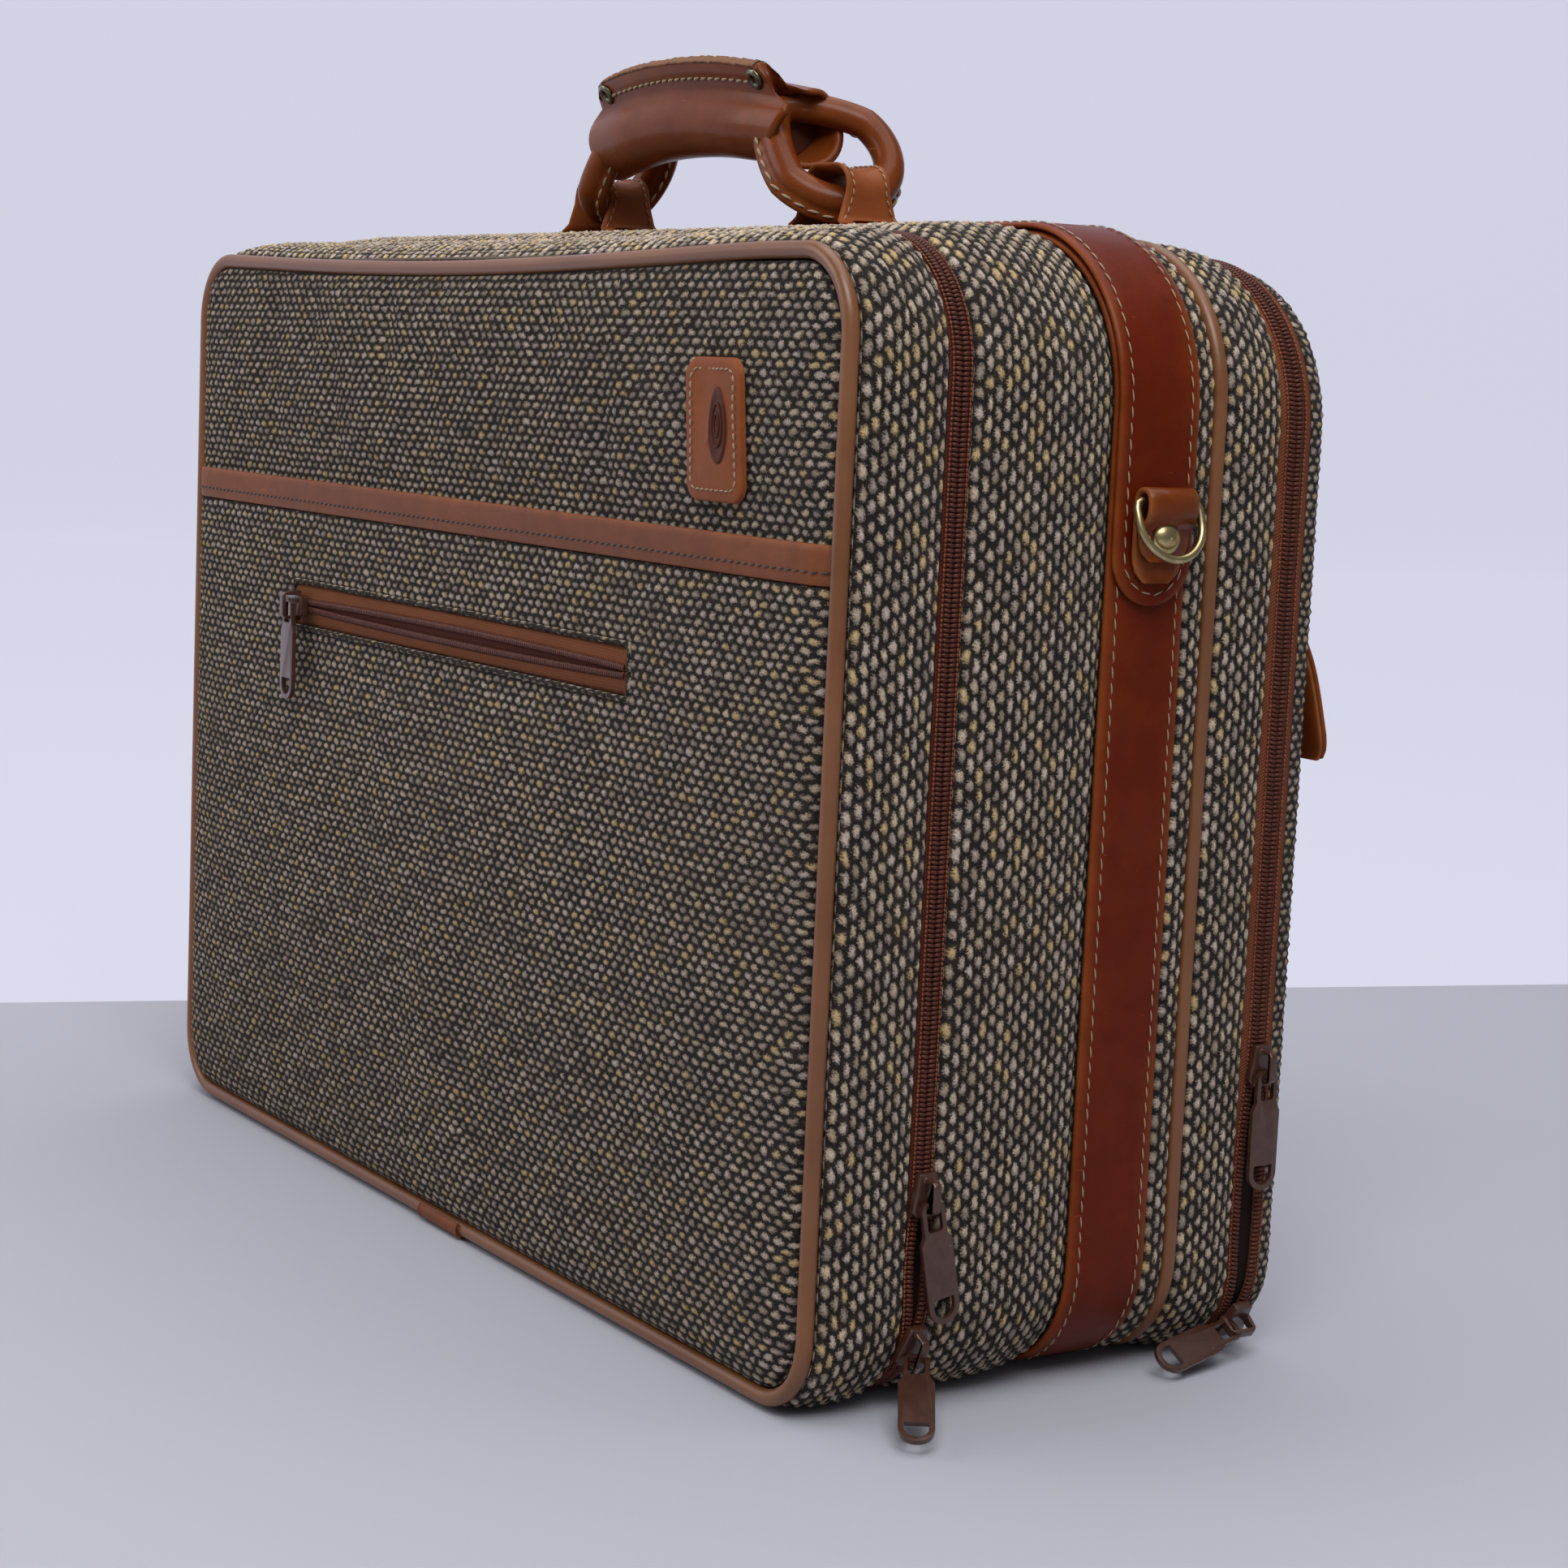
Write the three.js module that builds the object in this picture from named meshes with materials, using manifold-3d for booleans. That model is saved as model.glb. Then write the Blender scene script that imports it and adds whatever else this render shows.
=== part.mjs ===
// Softside upright suitcase: a tweed case on a stiff frame, leather strap and swinging handle,
// zipped front lid and zipped rear lid.
// Millimetres. +Z up, the front lid faces -Y, +X is to the right seen from the front.
// The origin is the centre of the leather strap's flat base.
import * as THREE from 'three';
import { mergeVertices } from 'three/addons/utils/BufferGeometryUtils.js';
import Module from 'manifold-3d';

const wasm = await Module();
wasm.setup();

// ---------------------------------------------------------------- driving dimensions

const GAP = 0.3;
const CORNER_STEPS = 8;
const CURVE_STEPS = 6;

// Outlines of the case, front to back: half width, bottom, top, bottom and top corner radius.
const FRONT_EDGE = { y: -121.8, half: 272, bottom: 4.2, top: 391, low: 26, high: 28 };
const FRONT_SIDE = { y: -118.3, half: 273.6, bottom: 2.6, top: 393.4, low: 28, high: 31 };
const FRONT_ZIP = { y: -80, half: 275.5, bottom: 0.8, top: 398.4, low: 40, high: 46 };
const STRAP_LINE = { y: 0, half: 275.2, bottom: 3.4, top: 401, low: 42, high: 57 };
const REAR_SEAM = { y: 30.6, half: 274, bottom: 3.1, top: 400.4, low: 40, high: 54 };
const REAR_ZIP = { y: 68, half: 272, bottom: 0.8, top: 397.6, low: 34, high: 60 };

const CLOTH = 2.6;
const FRAME = 2;
const LINING = 0.8;
const BOARD = 2.2;
const PIPING_RADIUS = 3;

const FRONT_CHAIN = { line: FRONT_ZIP, width: 4.4, split: 0.8 };
const REAR_CHAIN = { line: REAR_ZIP, width: 7.2, split: 0.8 };
const CHAIN_PROUD = 1.2;
const CHAIN_THICK = 2.4;
const CHAIN_START = -55;

const STRAP_HALF = 17.15;
const STRAP_THICK = 3;
const OVERLAY_THICK = 2.4;
const OVERLAY_END = 277;

const POCKET = { half: 268, top: 282, bottom: 8.4, corner: 24, front: -127.5, thick: 2.3 };
const TRIM = { height: 13.7, thick: 3 };
const POCKET_ZIP = { left: -149, right: 145, middle: 242, tape: 17, tooth: 3.2 };
const PATCH = { x: 200, z: 330.5, width: 38, height: 49, corner: 7, thick: 2 };
const PATCH_OVAL = { x: 204, z: 332, half: 6.5, high: 13.5, thick: 0.5 };
const PIPING_JOINT = { from: -15, to: 20, thick: 0.9 };

const RING = { x: 88, z: 436.5, radius: 21.5, tube: 7.2, lean: 32 };
const GRIP = { half: 76, middle: 456, sag: 8, wide: 17, high: 15, leather: 2.4 };
const FLANGE = { half: 68, height: 12, thick: 5, eyeletX: 60, eyeletRise: 6.4 };
const EYELET = { outer: 4.5, barrel: 2.6, hole: 1.5, lip: 0.8 };
const HANDLE = { shift: -15, lean: 35 };
const CHAPE = { inner: 80, outer: 107.8, ceiling: 432.4, wing: 9, half: 9.8, thick: 2.4 };

const DRING = { z: 313, half: 13.5, drop: 20.5, wire: 1.5, swing: 20 };
const TAB = { half: 10.8, bottom: 284, loop: 5, hole: 2, thick: 4.6 };
const STUD = { z: 300.5, radius: 5, height: 3.6 };

const SLIDER = { length: 15, width: 12, thick: 3, bail: 3.2, gap: 4.6, arch: 1.4 };
const PULL = { length: 43, top: 9.2, end: 12.4, thick: 1.8, window: 6, windowLength: 9.8, slot: 5 };
const HINGE_RISE = SLIDER.thick + SLIDER.gap / 2;
const HINGE_DROP = 2.4;

const REAR_STRAP = { x: 236, half: 13, top: 334, bottom: 266, thick: 2.2 };
const REAR_TAB = { top: 263, bottom: 217, thick: 4.2, curl: 9 };

const FINISH = {
  tweed: { color: '#7d7568', roughness: 0.95, metalness: 0 },
  pocketTweed: { color: '#746d62', roughness: 0.95, metalness: 0 },
  vinyl: { color: '#8a6440', roughness: 0.4, metalness: 0 },
  leather: { color: '#9a4a20', roughness: 0.45, metalness: 0 },
  paleLeather: { color: '#b06a3c', roughness: 0.5, metalness: 0 },
  darkLeather: { color: '#5a2a18', roughness: 0.6, metalness: 0 },
  coil: { color: '#5c2618', roughness: 0.55, metalness: 0 },
  tape: { color: '#9c5a30', roughness: 0.85, metalness: 0 },
  paint: { color: '#5b3a2c', roughness: 0.35, metalness: 0.4 },
  brass: { color: '#a08a50', roughness: 0.3, metalness: 1 },
  lining: { color: '#8c7a62', roughness: 0.9, metalness: 0 },
  board: { color: '#3c342c', roughness: 0.9, metalness: 0 },
};

const X = new THREE.Vector3(1, 0, 0);
const Y = new THREE.Vector3(0, 1, 0);
const Z = new THREE.Vector3(0, 0, 1);

const radians = THREE.MathUtils.degToRad;
const at = (x, y, z) => new THREE.Vector3(x, y, z);

const group = new THREE.Group();
group.name = 'softside_upright_suitcase';

function add(name, geometry, finish) {
  const mesh = new THREE.Mesh(geometry, new THREE.MeshStandardMaterial(FINISH[finish]));
  mesh.name = name;
  group.add(mesh);
}

// ---------------------------------------------------------------- geometry helpers

function signedVolume(points, faces) {
  let total = 0;
  for (let i = 0; i < faces.length; i += 3) {
    const [a, b, c] = [points[faces[i]], points[faces[i + 1]], points[faces[i + 2]]];
    total += a.dot(b.clone().cross(c));
  }
  return total;
}

// Solid through a row of loops with equal point counts: closed on itself, or capped at both ends.
function loft(loops, closed) {
  const count = loops[0].length;
  const points = loops.flat();
  const faces = [];
  const joins = closed ? loops.length : loops.length - 1;
  for (let i = 0; i < joins; i += 1) {
    const here = i * count;
    const next = ((i + 1) % loops.length) * count;
    for (let j = 0; j < count; j += 1) {
      const k = (j + 1) % count;
      faces.push(here + j, here + k, next + k, here + j, next + k, next + j);
    }
  }
  if (!closed) {
    const last = (loops.length - 1) * count;
    for (let j = 1; j < count - 1; j += 1) {
      faces.push(0, j + 1, j, last, last + j, last + j + 1);
    }
  }
  if (signedVolume(points, faces) < 0) faces.reverse();
  const geometry = new THREE.BufferGeometry().setFromPoints(points);
  geometry.setIndex(faces);
  return geometry;
}

// Moves a geometry drawn in its own frame so its x and y run along `across` and `up`.
function place(geometry, origin, across, up) {
  const normal = across.clone().cross(up);
  return geometry.applyMatrix4(
    new THREE.Matrix4().makeBasis(across, up, normal).setPosition(origin),
  );
}

function slab(shape, thickness, origin, across, up) {
  const options = { depth: thickness, bevelEnabled: false, curveSegments: CURVE_STEPS };
  return place(new THREE.ExtrudeGeometry(shape, options), origin, across, up);
}

// Plate in the XZ plane whose outer face is at `front` and whose body runs back to +Y.
function frontPlate(shape, front, thickness) {
  return slab(shape, thickness, at(0, front + thickness, 0), X, Z);
}

function roundedRect(left, right, bottom, top, low, high = low) {
  const shape = new THREE.Shape();
  shape.moveTo(left + low, bottom);
  shape.lineTo(right - low, bottom);
  if (low) shape.absarc(right - low, bottom + low, low, -Math.PI / 2, 0);
  shape.lineTo(right, top - high);
  if (high) shape.absarc(right - high, top - high, high, 0, Math.PI / 2);
  shape.lineTo(left + high, top);
  if (high) shape.absarc(left + high, top - high, high, Math.PI / 2, Math.PI);
  shape.lineTo(left, bottom + low);
  if (low) shape.absarc(left + low, bottom + low, low, Math.PI, 1.5 * Math.PI);
  return shape;
}

function arc(x, z, radius, from, to) {
  return Array.from({ length: CORNER_STEPS + 1 }, (_, i) => {
    const angle = radians(from + ((to - from) * i) / CORNER_STEPS);
    return { x: x + radius * Math.cos(angle), z: z + radius * Math.sin(angle) };
  });
}

// Path round a case outline from its right bottom corner, over the top, to the left one.
function outline(line, inset = 0, start = -90) {
  const half = line.half - inset;
  const low = line.low - inset;
  const high = line.high - inset;
  const [floor, roof] = [line.bottom + line.low, line.top - line.high];
  return [
    ...arc(half - low, floor, low, start, 0),
    ...arc(half - high, roof, high, 0, 90),
    ...arc(high - half, roof, high, 90, 180),
    ...arc(low - half, floor, low, 180, 180 - start),
  ];
}

const blend = (a, b, t) => a + (b - a) * t;

// Outline between two others at depth y.
function between(a, b, y) {
  const t = (y - a.y) / (b.y - a.y);
  const keys = ['half', 'bottom', 'top', 'low', 'high'];
  return { y, ...Object.fromEntries(keys.map((key) => [key, blend(a[key], b[key], t)])) };
}

const lift = (path, y) => path.map((p) => at(p.x, y, p.z));

// Belt all round the case through several outlines, `inset` mm inside them.
function hoop(lines, thickness, inset = 0) {
  const outer = lines.map((line) => lift(outline(line, inset), line.y));
  const inner = lines.map((line) => lift(outline(line, inset + thickness), line.y));
  return loft([...outer, ...inner.reverse()], true);
}

// Belt of rectangular section along a path, given as inner and outer points at each step.
function belt(inner, outer, halves, y) {
  return loft(
    inner.map((p, i) => [
      at(p.x, y - halves[i], p.z),
      at(outer[i].x, y - halves[i], outer[i].z),
      at(outer[i].x, y + halves[i], outer[i].z),
      at(p.x, y + halves[i], p.z),
    ]),
    false,
  );
}

function wholePlate(line, inset, front, thickness) {
  const loops = [front, front + thickness].map((y) => lift(outline(line, inset), y));
  return loft(loops, false);
}

// Round bar along a closed or open list of points, each with its two section axes.
function bar(spine, radius, sides, closed) {
  return loft(
    spine.map(({ point, u, v }) =>
      Array.from({ length: sides }, (_, i) => {
        const angle = (2 * Math.PI * i) / sides;
        return point
          .clone()
          .addScaledVector(u, radius * Math.cos(angle))
          .addScaledVector(v, radius * Math.sin(angle));
      }),
    ),
    closed,
  );
}

function pipe(line, radius) {
  const inner = outline(line, 1);
  const spine = outline(line).map((p, i) => ({
    point: at(p.x, line.y, p.z),
    u: at(p.x - inner[i].x, 0, p.z - inner[i].z).normalize(),
    v: Y,
  }));
  return bar(spine, radius, 10, true);
}

function toManifold(geometry) {
  const bare = geometry.clone();
  bare.deleteAttribute('normal');
  bare.deleteAttribute('uv');
  const merged = mergeVertices(bare, 1e-4);
  return new wasm.Manifold(
    new wasm.Mesh({
      numProp: 3,
      vertProperties: new Float32Array(merged.attributes.position.array),
      triVerts: new Uint32Array(merged.index.array),
    }),
  );
}

function fromManifold(solid) {
  const mesh = solid.getMesh();
  const geometry = new THREE.BufferGeometry();
  geometry.setAttribute('position', new THREE.BufferAttribute(mesh.vertProperties, mesh.numProp));
  geometry.setIndex(new THREE.BufferAttribute(mesh.triVerts, 1));
  return geometry;
}

const join = (a, b) => fromManifold(toManifold(a).add(toManifold(b)));
const cut = (a, b) => fromManifold(toManifold(a).subtract(toManifold(b)));

const mirrored = (build) => [
  ['r', build(1)],
  ['l', build(-1)],
];

// ---------------------------------------------------------------- case body

const bodyFront = FRONT_ZIP.y + FRONT_CHAIN.width + FRONT_CHAIN.split / 2 + GAP;
const bodyRear = REAR_SEAM.y - PIPING_RADIUS - GAP;
const bodyLines = [
  between(FRONT_ZIP, STRAP_LINE, bodyFront),
  { ...STRAP_LINE, y: -STRAP_HALF - 1 },
  { ...STRAP_LINE, y: STRAP_HALF + 1 },
  between(STRAP_LINE, REAR_SEAM, bodyRear),
];

const rearFront = REAR_SEAM.y + PIPING_RADIUS + GAP;
const rearBack = REAR_ZIP.y - REAR_CHAIN.width - REAR_CHAIN.split / 2 - GAP;
const rearLines = [
  between(REAR_SEAM, REAR_ZIP, rearFront),
  between(REAR_SEAM, REAR_ZIP, rearBack),
];

add('body_gusset', hoop(bodyLines, CLOTH), 'tweed');
add('body_frame', hoop(bodyLines, FRAME, CLOTH + GAP), 'board');
add('body_lining', hoop(bodyLines, LINING, CLOTH + FRAME + 2 * GAP), 'lining');
add('rear_gusset', hoop(rearLines, CLOTH), 'tweed');
add('rear_lining', hoop(rearLines, LINING, CLOTH + GAP), 'lining');
add('divider_board', wholePlate(REAR_SEAM, PIPING_RADIUS + 2 * GAP, 29.4, BOARD), 'board');
add('rear_piping', pipe(REAR_SEAM, PIPING_RADIUS), 'vinyl');

// ---------------------------------------------------------------- zip chains and cloth hinges

// One half of a zip chain, from one bottom corner over the top to the other.
function chain({ line, width, split }, side) {
  const inner = outline(line, CHAIN_THICK - CHAIN_PROUD, CHAIN_START);
  const outer = outline(line, -CHAIN_PROUD, CHAIN_START);
  const halves = inner.map(() => width / 2);
  return belt(inner, outer, halves, line.y + (side * (width + split)) / 2);
}

// Strip of gusset cloth left unzipped along the bottom, which the lid folds about.
function hingeStrip({ line, width, split }) {
  const end = CHAIN_START - 4;
  const low = (inset) => {
    const radius = line.low - inset;
    const x = line.half - line.low;
    const z = line.bottom + line.low;
    const right = arc(x, z, radius, end, -90);
    return [...right, ...right.map((p) => ({ x: -p.x, z: p.z })).reverse()];
  };
  const inner = low(CLOTH);
  const outer = low(0);
  return belt(inner, outer, inner.map(() => width + split / 2 - 0.2), line.y);
}

add('front_chain_body', chain(FRONT_CHAIN, 1), 'coil');
add('front_chain_lid', chain(FRONT_CHAIN, -1), 'coil');
add('rear_chain_body', chain(REAR_CHAIN, -1), 'coil');
add('rear_chain_lid', chain(REAR_CHAIN, 1), 'coil');
add('front_hinge_strip', hingeStrip(FRONT_CHAIN), 'tweed');
add('rear_hinge_strip', hingeStrip(REAR_CHAIN), 'tweed');

// ---------------------------------------------------------------- leather strap

const strapOuter = STRAP_LINE.bottom;
const strapLines = [-STRAP_HALF, STRAP_HALF].map((y) => ({ ...STRAP_LINE, y }));
add('strap', hoop(strapLines, STRAP_THICK, -strapOuter), 'leather');

// Second layer over the top of the case; both ends are rounded and lie on the sides.
const overlayInner = -strapOuter - GAP;
const overlayOuter = overlayInner - OVERLAY_THICK;

function overlayPath(inset) {
  const half = STRAP_LINE.half - inset;
  const ends = [12, 30, 48, 66, 90].map((angle) => ({
    x: half,
    z: OVERLAY_END + STRAP_HALF * (1 - Math.cos(radians(angle))),
  }));
  const over = outline(STRAP_LINE, inset).slice(CORNER_STEPS + 1, 3 * (CORNER_STEPS + 1));
  return [...ends, ...over, ...ends.map((p) => ({ x: -p.x, z: p.z })).reverse()];
}

const endWidths = [12, 30, 48, 66, 90].map((angle) => STRAP_HALF * Math.sin(radians(angle)));
const overlayWidths = [
  ...endWidths,
  ...Array(2 * (CORNER_STEPS + 1)).fill(STRAP_HALF),
  ...endWidths.slice().reverse(),
];
const overlay = belt(overlayPath(overlayInner), overlayPath(overlayOuter), overlayWidths, 0);
add('strap_overlay', overlay, 'leather');

// ---------------------------------------------------------------- D-rings on the strap

const tabBack = STRAP_LINE.half - overlayOuter + GAP;
const wireX = tabBack + TAB.loop;

// Folded leather tab: a loop round the ring's bar, the two layers closed together below it.
function dringTab(side) {
  const shape = new THREE.Shape();
  shape.moveTo(tabBack, TAB.bottom);
  shape.lineTo(tabBack + TAB.thick, TAB.bottom);
  shape.lineTo(tabBack + TAB.thick, DRING.z - TAB.loop - 3);
  shape.lineTo(tabBack + 2 * TAB.loop, DRING.z);
  shape.absarc(wireX, DRING.z, TAB.loop, 0, Math.PI);
  const hole = new THREE.Path();
  hole.absarc(wireX, DRING.z, TAB.hole, 0, 2 * Math.PI, true);
  shape.holes.push(hole);
  const geometry = slab(shape, 2 * TAB.half, at(0, TAB.half, 0), X, Z);
  return side > 0 ? geometry : geometry.applyMatrix4(new THREE.Matrix4().makeRotationZ(Math.PI));
}

function stud(side) {
  const points = Array.from({ length: 6 }, (_, i) => {
    const angle = radians(18 * i);
    return new THREE.Vector2(STUD.radius * Math.cos(angle), STUD.height * Math.sin(angle));
  });
  points[5].x = 0;
  const dome = new THREE.LatheGeometry([new THREE.Vector2(0, 0), ...points], 20);
  const base = tabBack + TAB.thick + GAP;
  const [across, out] = [Y.clone().multiplyScalar(-side), X.clone().multiplyScalar(side)];
  return place(dome, at(side * base, 0, STUD.z), across, out);
}

// D-ring hanging from its bar, swung a little off the tab.
function dring(side) {
  const spine = [];
  const shoulder = DRING.half - DRING.drop;
  for (let i = 0; i <= 12; i += 1) {
    const angle = Math.PI + (Math.PI * i) / 12;
    const radial = at(0, Math.cos(angle), Math.sin(angle));
    const point = at(0, DRING.half * radial.y, shoulder + DRING.half * radial.z);
    spine.push({ point, u: X, v: radial });
  }
  spine.push({ point: at(0, DRING.half, -1), u: X, v: Y });
  spine.push({ point: at(0, DRING.half - 1, 0), u: X, v: Z });
  spine.push({ point: at(0, 1 - DRING.half, 0), u: X, v: Z });
  spine.push({ point: at(0, -DRING.half, -1), u: X, v: Y.clone().negate() });
  const swing = radians(-side * DRING.swing);
  return bar(spine, DRING.wire, 10, true)
    .rotateY(swing)
    .translate(side * wireX, 0, DRING.z);
}

for (const [side, geometry] of mirrored(dringTab)) add(`dring_tab_${side}`, geometry, 'leather');
for (const [side, geometry] of mirrored(stud)) add(`dring_stud_${side}`, geometry, 'brass');
for (const [side, geometry] of mirrored(dring)) add(`dring_${side}`, geometry, 'brass');

// ---------------------------------------------------------------- handle

// Leather chape: two stitched wings on the strap and an arch the ring slides through.
function chape(side) {
  const base = STRAP_LINE.top - overlayOuter + GAP;
  const { inner, outer, ceiling, wing, thick } = CHAPE;
  const round = 8;
  const shape = new THREE.Shape();
  shape.moveTo(inner - thick - wing, base);
  shape.lineTo(inner, base);
  shape.lineTo(inner, ceiling - round);
  shape.absarc(inner + round, ceiling - round, round, Math.PI, Math.PI / 2, true);
  shape.absarc(outer - round, ceiling - round, round, Math.PI / 2, 0, true);
  shape.lineTo(outer, base);
  shape.lineTo(outer + thick + wing, base);
  shape.lineTo(outer + thick + wing, base + thick);
  shape.lineTo(outer + thick, base + thick);
  shape.absarc(outer - round, ceiling - round, round + thick, 0, Math.PI / 2);
  shape.absarc(inner + round, ceiling - round, round + thick, Math.PI / 2, Math.PI);
  shape.lineTo(inner - thick, base + thick);
  shape.lineTo(inner - thick - wing, base + thick);
  const geometry = slab(shape, 2 * CHAPE.half, at(0, CHAPE.half, 0), X, Z);
  return side > 0 ? geometry : geometry.applyMatrix4(new THREE.Matrix4().makeRotationZ(Math.PI));
}

// Rolled leather ring, its top leaning towards the grip.
function ring(side, tube) {
  const lean = radians(RING.lean);
  const tall = at(-side * Math.sin(lean), 0, Math.cos(lean));
  const normal = at(side * Math.cos(lean), 0, Math.sin(lean));
  const centre = at(side * RING.x, 0, RING.z);
  const spine = Array.from({ length: 32 }, (_, i) => {
    const angle = (2 * Math.PI * i) / 32;
    const radial = Y.clone().multiplyScalar(Math.sin(angle)).addScaledVector(tall, Math.cos(angle));
    return { point: centre.clone().addScaledVector(radial, RING.radius), u: radial, v: normal };
  });
  return bar(spine, tube, 14, true);
}

const gripCentre = (x) => GRIP.middle - GRIP.sag * (x / GRIP.half) ** 2;

function gripLoops(half, inset) {
  return Array.from({ length: 9 }, (_, i) => {
    const x = -half + (half * i) / 4;
    return Array.from({ length: 24 }, (_, j) => {
      const angle = (2 * Math.PI * j) / 24;
      const y = (GRIP.wide - inset) * Math.cos(angle);
      return at(x, y, gripCentre(x) + (GRIP.high - inset) * Math.sin(angle));
    });
  });
}

// Leather wrapped round the core, open at both ends and notched where the rings enter.
function gripWrap() {
  const shell = [...gripLoops(GRIP.half, 0), ...gripLoops(GRIP.half, GRIP.leather).reverse()];
  const tube = RING.tube + 2 * GAP;
  return cut(cut(loft(shell, true), ring(1, tube)), ring(-1, tube));
}

const gripCore = () => loft(gripLoops(GRIP.half - 14, GRIP.leather + GAP), false);

// The wrap's two edges stitched together standing up along the top of the grip.
function gripFlange() {
  const steps = Array.from({ length: 13 }, (_, i) => -FLANGE.half + (FLANGE.half * i) / 6);
  const foot = (x) => gripCentre(x) + GRIP.high + GAP;
  const shape = new THREE.Shape();
  shape.moveTo(steps[0], foot(steps[0]));
  steps.slice(1).forEach((x) => shape.lineTo(x, foot(x)));
  steps.toReversed().forEach((x) => shape.lineTo(x, foot(x) + FLANGE.height));
  for (const side of [1, -1]) {
    const hole = new THREE.Path();
    const z = foot(FLANGE.eyeletX) + FLANGE.eyeletRise;
    hole.absarc(side * FLANGE.eyeletX, z, EYELET.barrel + GAP, 0, 2 * Math.PI, true);
    shape.holes.push(hole);
  }
  return slab(shape, FLANGE.thick, at(0, FLANGE.thick / 2, 0), X, Z);
}

function eyelet(side) {
  const reach = FLANGE.thick / 2 + GAP;
  const { outer, barrel, hole, lip } = EYELET;
  const profile = [
    [hole, -reach - lip], [outer, -reach - lip], [outer, -reach], [barrel, -reach],
    [barrel, reach], [outer, reach], [outer, reach + lip], [hole, reach + lip],
    [hole, -reach - lip],
  ].map(([r, h]) => new THREE.Vector2(r, h));
  const z = gripCentre(FLANGE.eyeletX) + GRIP.high + GAP + FLANGE.eyeletRise;
  const spool = new THREE.LatheGeometry(profile, 20);
  return spool.translate(side * FLANGE.eyeletX, 0, z);
}

// The handle rests leaning forward in its chapes, which sit a little left of the middle.
function leaning(geometry) {
  geometry.translate(0, 0, -RING.z).rotateX(radians(HANDLE.lean));
  return geometry.translate(HANDLE.shift, 0, RING.z);
}

for (const [side, geometry] of mirrored(chape)) {
  add(`chape_${side}`, geometry.translate(HANDLE.shift, 0, 0), 'leather');
}
for (const [side, geometry] of mirrored((s) => ring(s, RING.tube))) {
  add(`handle_ring_${side}`, leaning(geometry), 'leather');
}
add('grip_wrap', leaning(gripWrap()), 'leather');
add('grip_core', leaning(gripCore()), 'board');
add('grip_flange', leaning(gripFlange()), 'leather');
for (const [side, geometry] of mirrored(eyelet)) {
  add(`grip_eyelet_${side}`, leaning(geometry), 'brass');
}

// ---------------------------------------------------------------- front lid

const lidRear = FRONT_ZIP.y - FRONT_CHAIN.width - FRONT_CHAIN.split / 2 - GAP;
const lidLines = [FRONT_SIDE, between(FRONT_SIDE, FRONT_ZIP, lidRear)];
const panelInset = PIPING_RADIUS + 2 * GAP;
const panelFront = POCKET.front + POCKET.thick + GAP;

add('front_panel', wholePlate(FRONT_EDGE, panelInset, panelFront, CLOTH), 'tweed');
const boardFront = panelFront + CLOTH + GAP;
add('front_board', wholePlate(FRONT_EDGE, panelInset, boardFront, BOARD), 'board');
add('front_gusset', hoop(lidLines, CLOTH), 'tweed');
add('front_lining', hoop(lidLines, LINING, CLOTH + GAP), 'lining');
add('front_piping', pipe(FRONT_EDGE, PIPING_RADIUS), 'vinyl');

// Leather sleeve over the joint of the piping, wrapped round its front and underside.
function pipingJoint() {
  const inner = PIPING_RADIUS + GAP;
  const outer = inner + PIPING_JOINT.thick;
  const shape = new THREE.Shape();
  shape.absarc(0, 0, outer, radians(150), radians(285));
  shape.absarc(0, 0, inner, radians(285), radians(150), true);
  const origin = at(PIPING_JOINT.from, FRONT_EDGE.y, FRONT_EDGE.bottom);
  return slab(shape, PIPING_JOINT.to - PIPING_JOINT.from, origin, Y, Z);
}
add('piping_joint', pipingJoint(), 'leather');

const pocketShape = roundedRect(
  -POCKET.half, POCKET.half, POCKET.bottom, POCKET.top, POCKET.corner, 0,
);
add('slip_pocket', frontPlate(pocketShape, POCKET.front, POCKET.thick), 'pocketTweed');

const trimShape = roundedRect(
  -POCKET.half, POCKET.half, POCKET.top + GAP, POCKET.top + GAP + TRIM.height, 0,
);
const trimFront = POCKET.front + POCKET.thick - TRIM.thick;
add('pocket_trim', frontPlate(trimShape, trimFront, TRIM.thick), 'leather');

const tapeShape = roundedRect(
  POCKET_ZIP.left, POCKET_ZIP.right,
  POCKET_ZIP.middle - POCKET_ZIP.tape / 2, POCKET_ZIP.middle + POCKET_ZIP.tape / 2, 1,
);
const tapeFront = POCKET.front - GAP - 0.5;
add('pocket_zip_tape', frontPlate(tapeShape, tapeFront, 0.5), 'tape');

const toothFront = tapeFront - GAP - 1.4;
for (const [name, side] of [['upper', 1], ['lower', -1]]) {
  const middle = POCKET_ZIP.middle + side * (POCKET_ZIP.tooth / 2 + GAP);
  const half = POCKET_ZIP.tooth / 2;
  const shape = roundedRect(
    POCKET_ZIP.left + 2, POCKET_ZIP.right - 2, middle - half, middle + half, 0.5,
  );
  add(`pocket_chain_${name}`, frontPlate(shape, toothFront, 1.4), 'coil');
}

const patchShape = roundedRect(
  PATCH.x - PATCH.width / 2, PATCH.x + PATCH.width / 2,
  PATCH.z - PATCH.height / 2, PATCH.z + PATCH.height / 2, PATCH.corner,
);
const patchFront = panelFront - GAP - PATCH.thick;
add('emblem_patch', frontPlate(patchShape, patchFront, PATCH.thick), 'paleLeather');

const ovalShape = new THREE.Shape();
ovalShape.absellipse(PATCH_OVAL.x, PATCH_OVAL.z, PATCH_OVAL.half, PATCH_OVAL.high, 0, 2 * Math.PI);
const ovalFront = patchFront - GAP - PATCH_OVAL.thick;
add('emblem_oval', frontPlate(ovalShape, ovalFront, PATCH_OVAL.thick), 'darkLeather');

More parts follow.
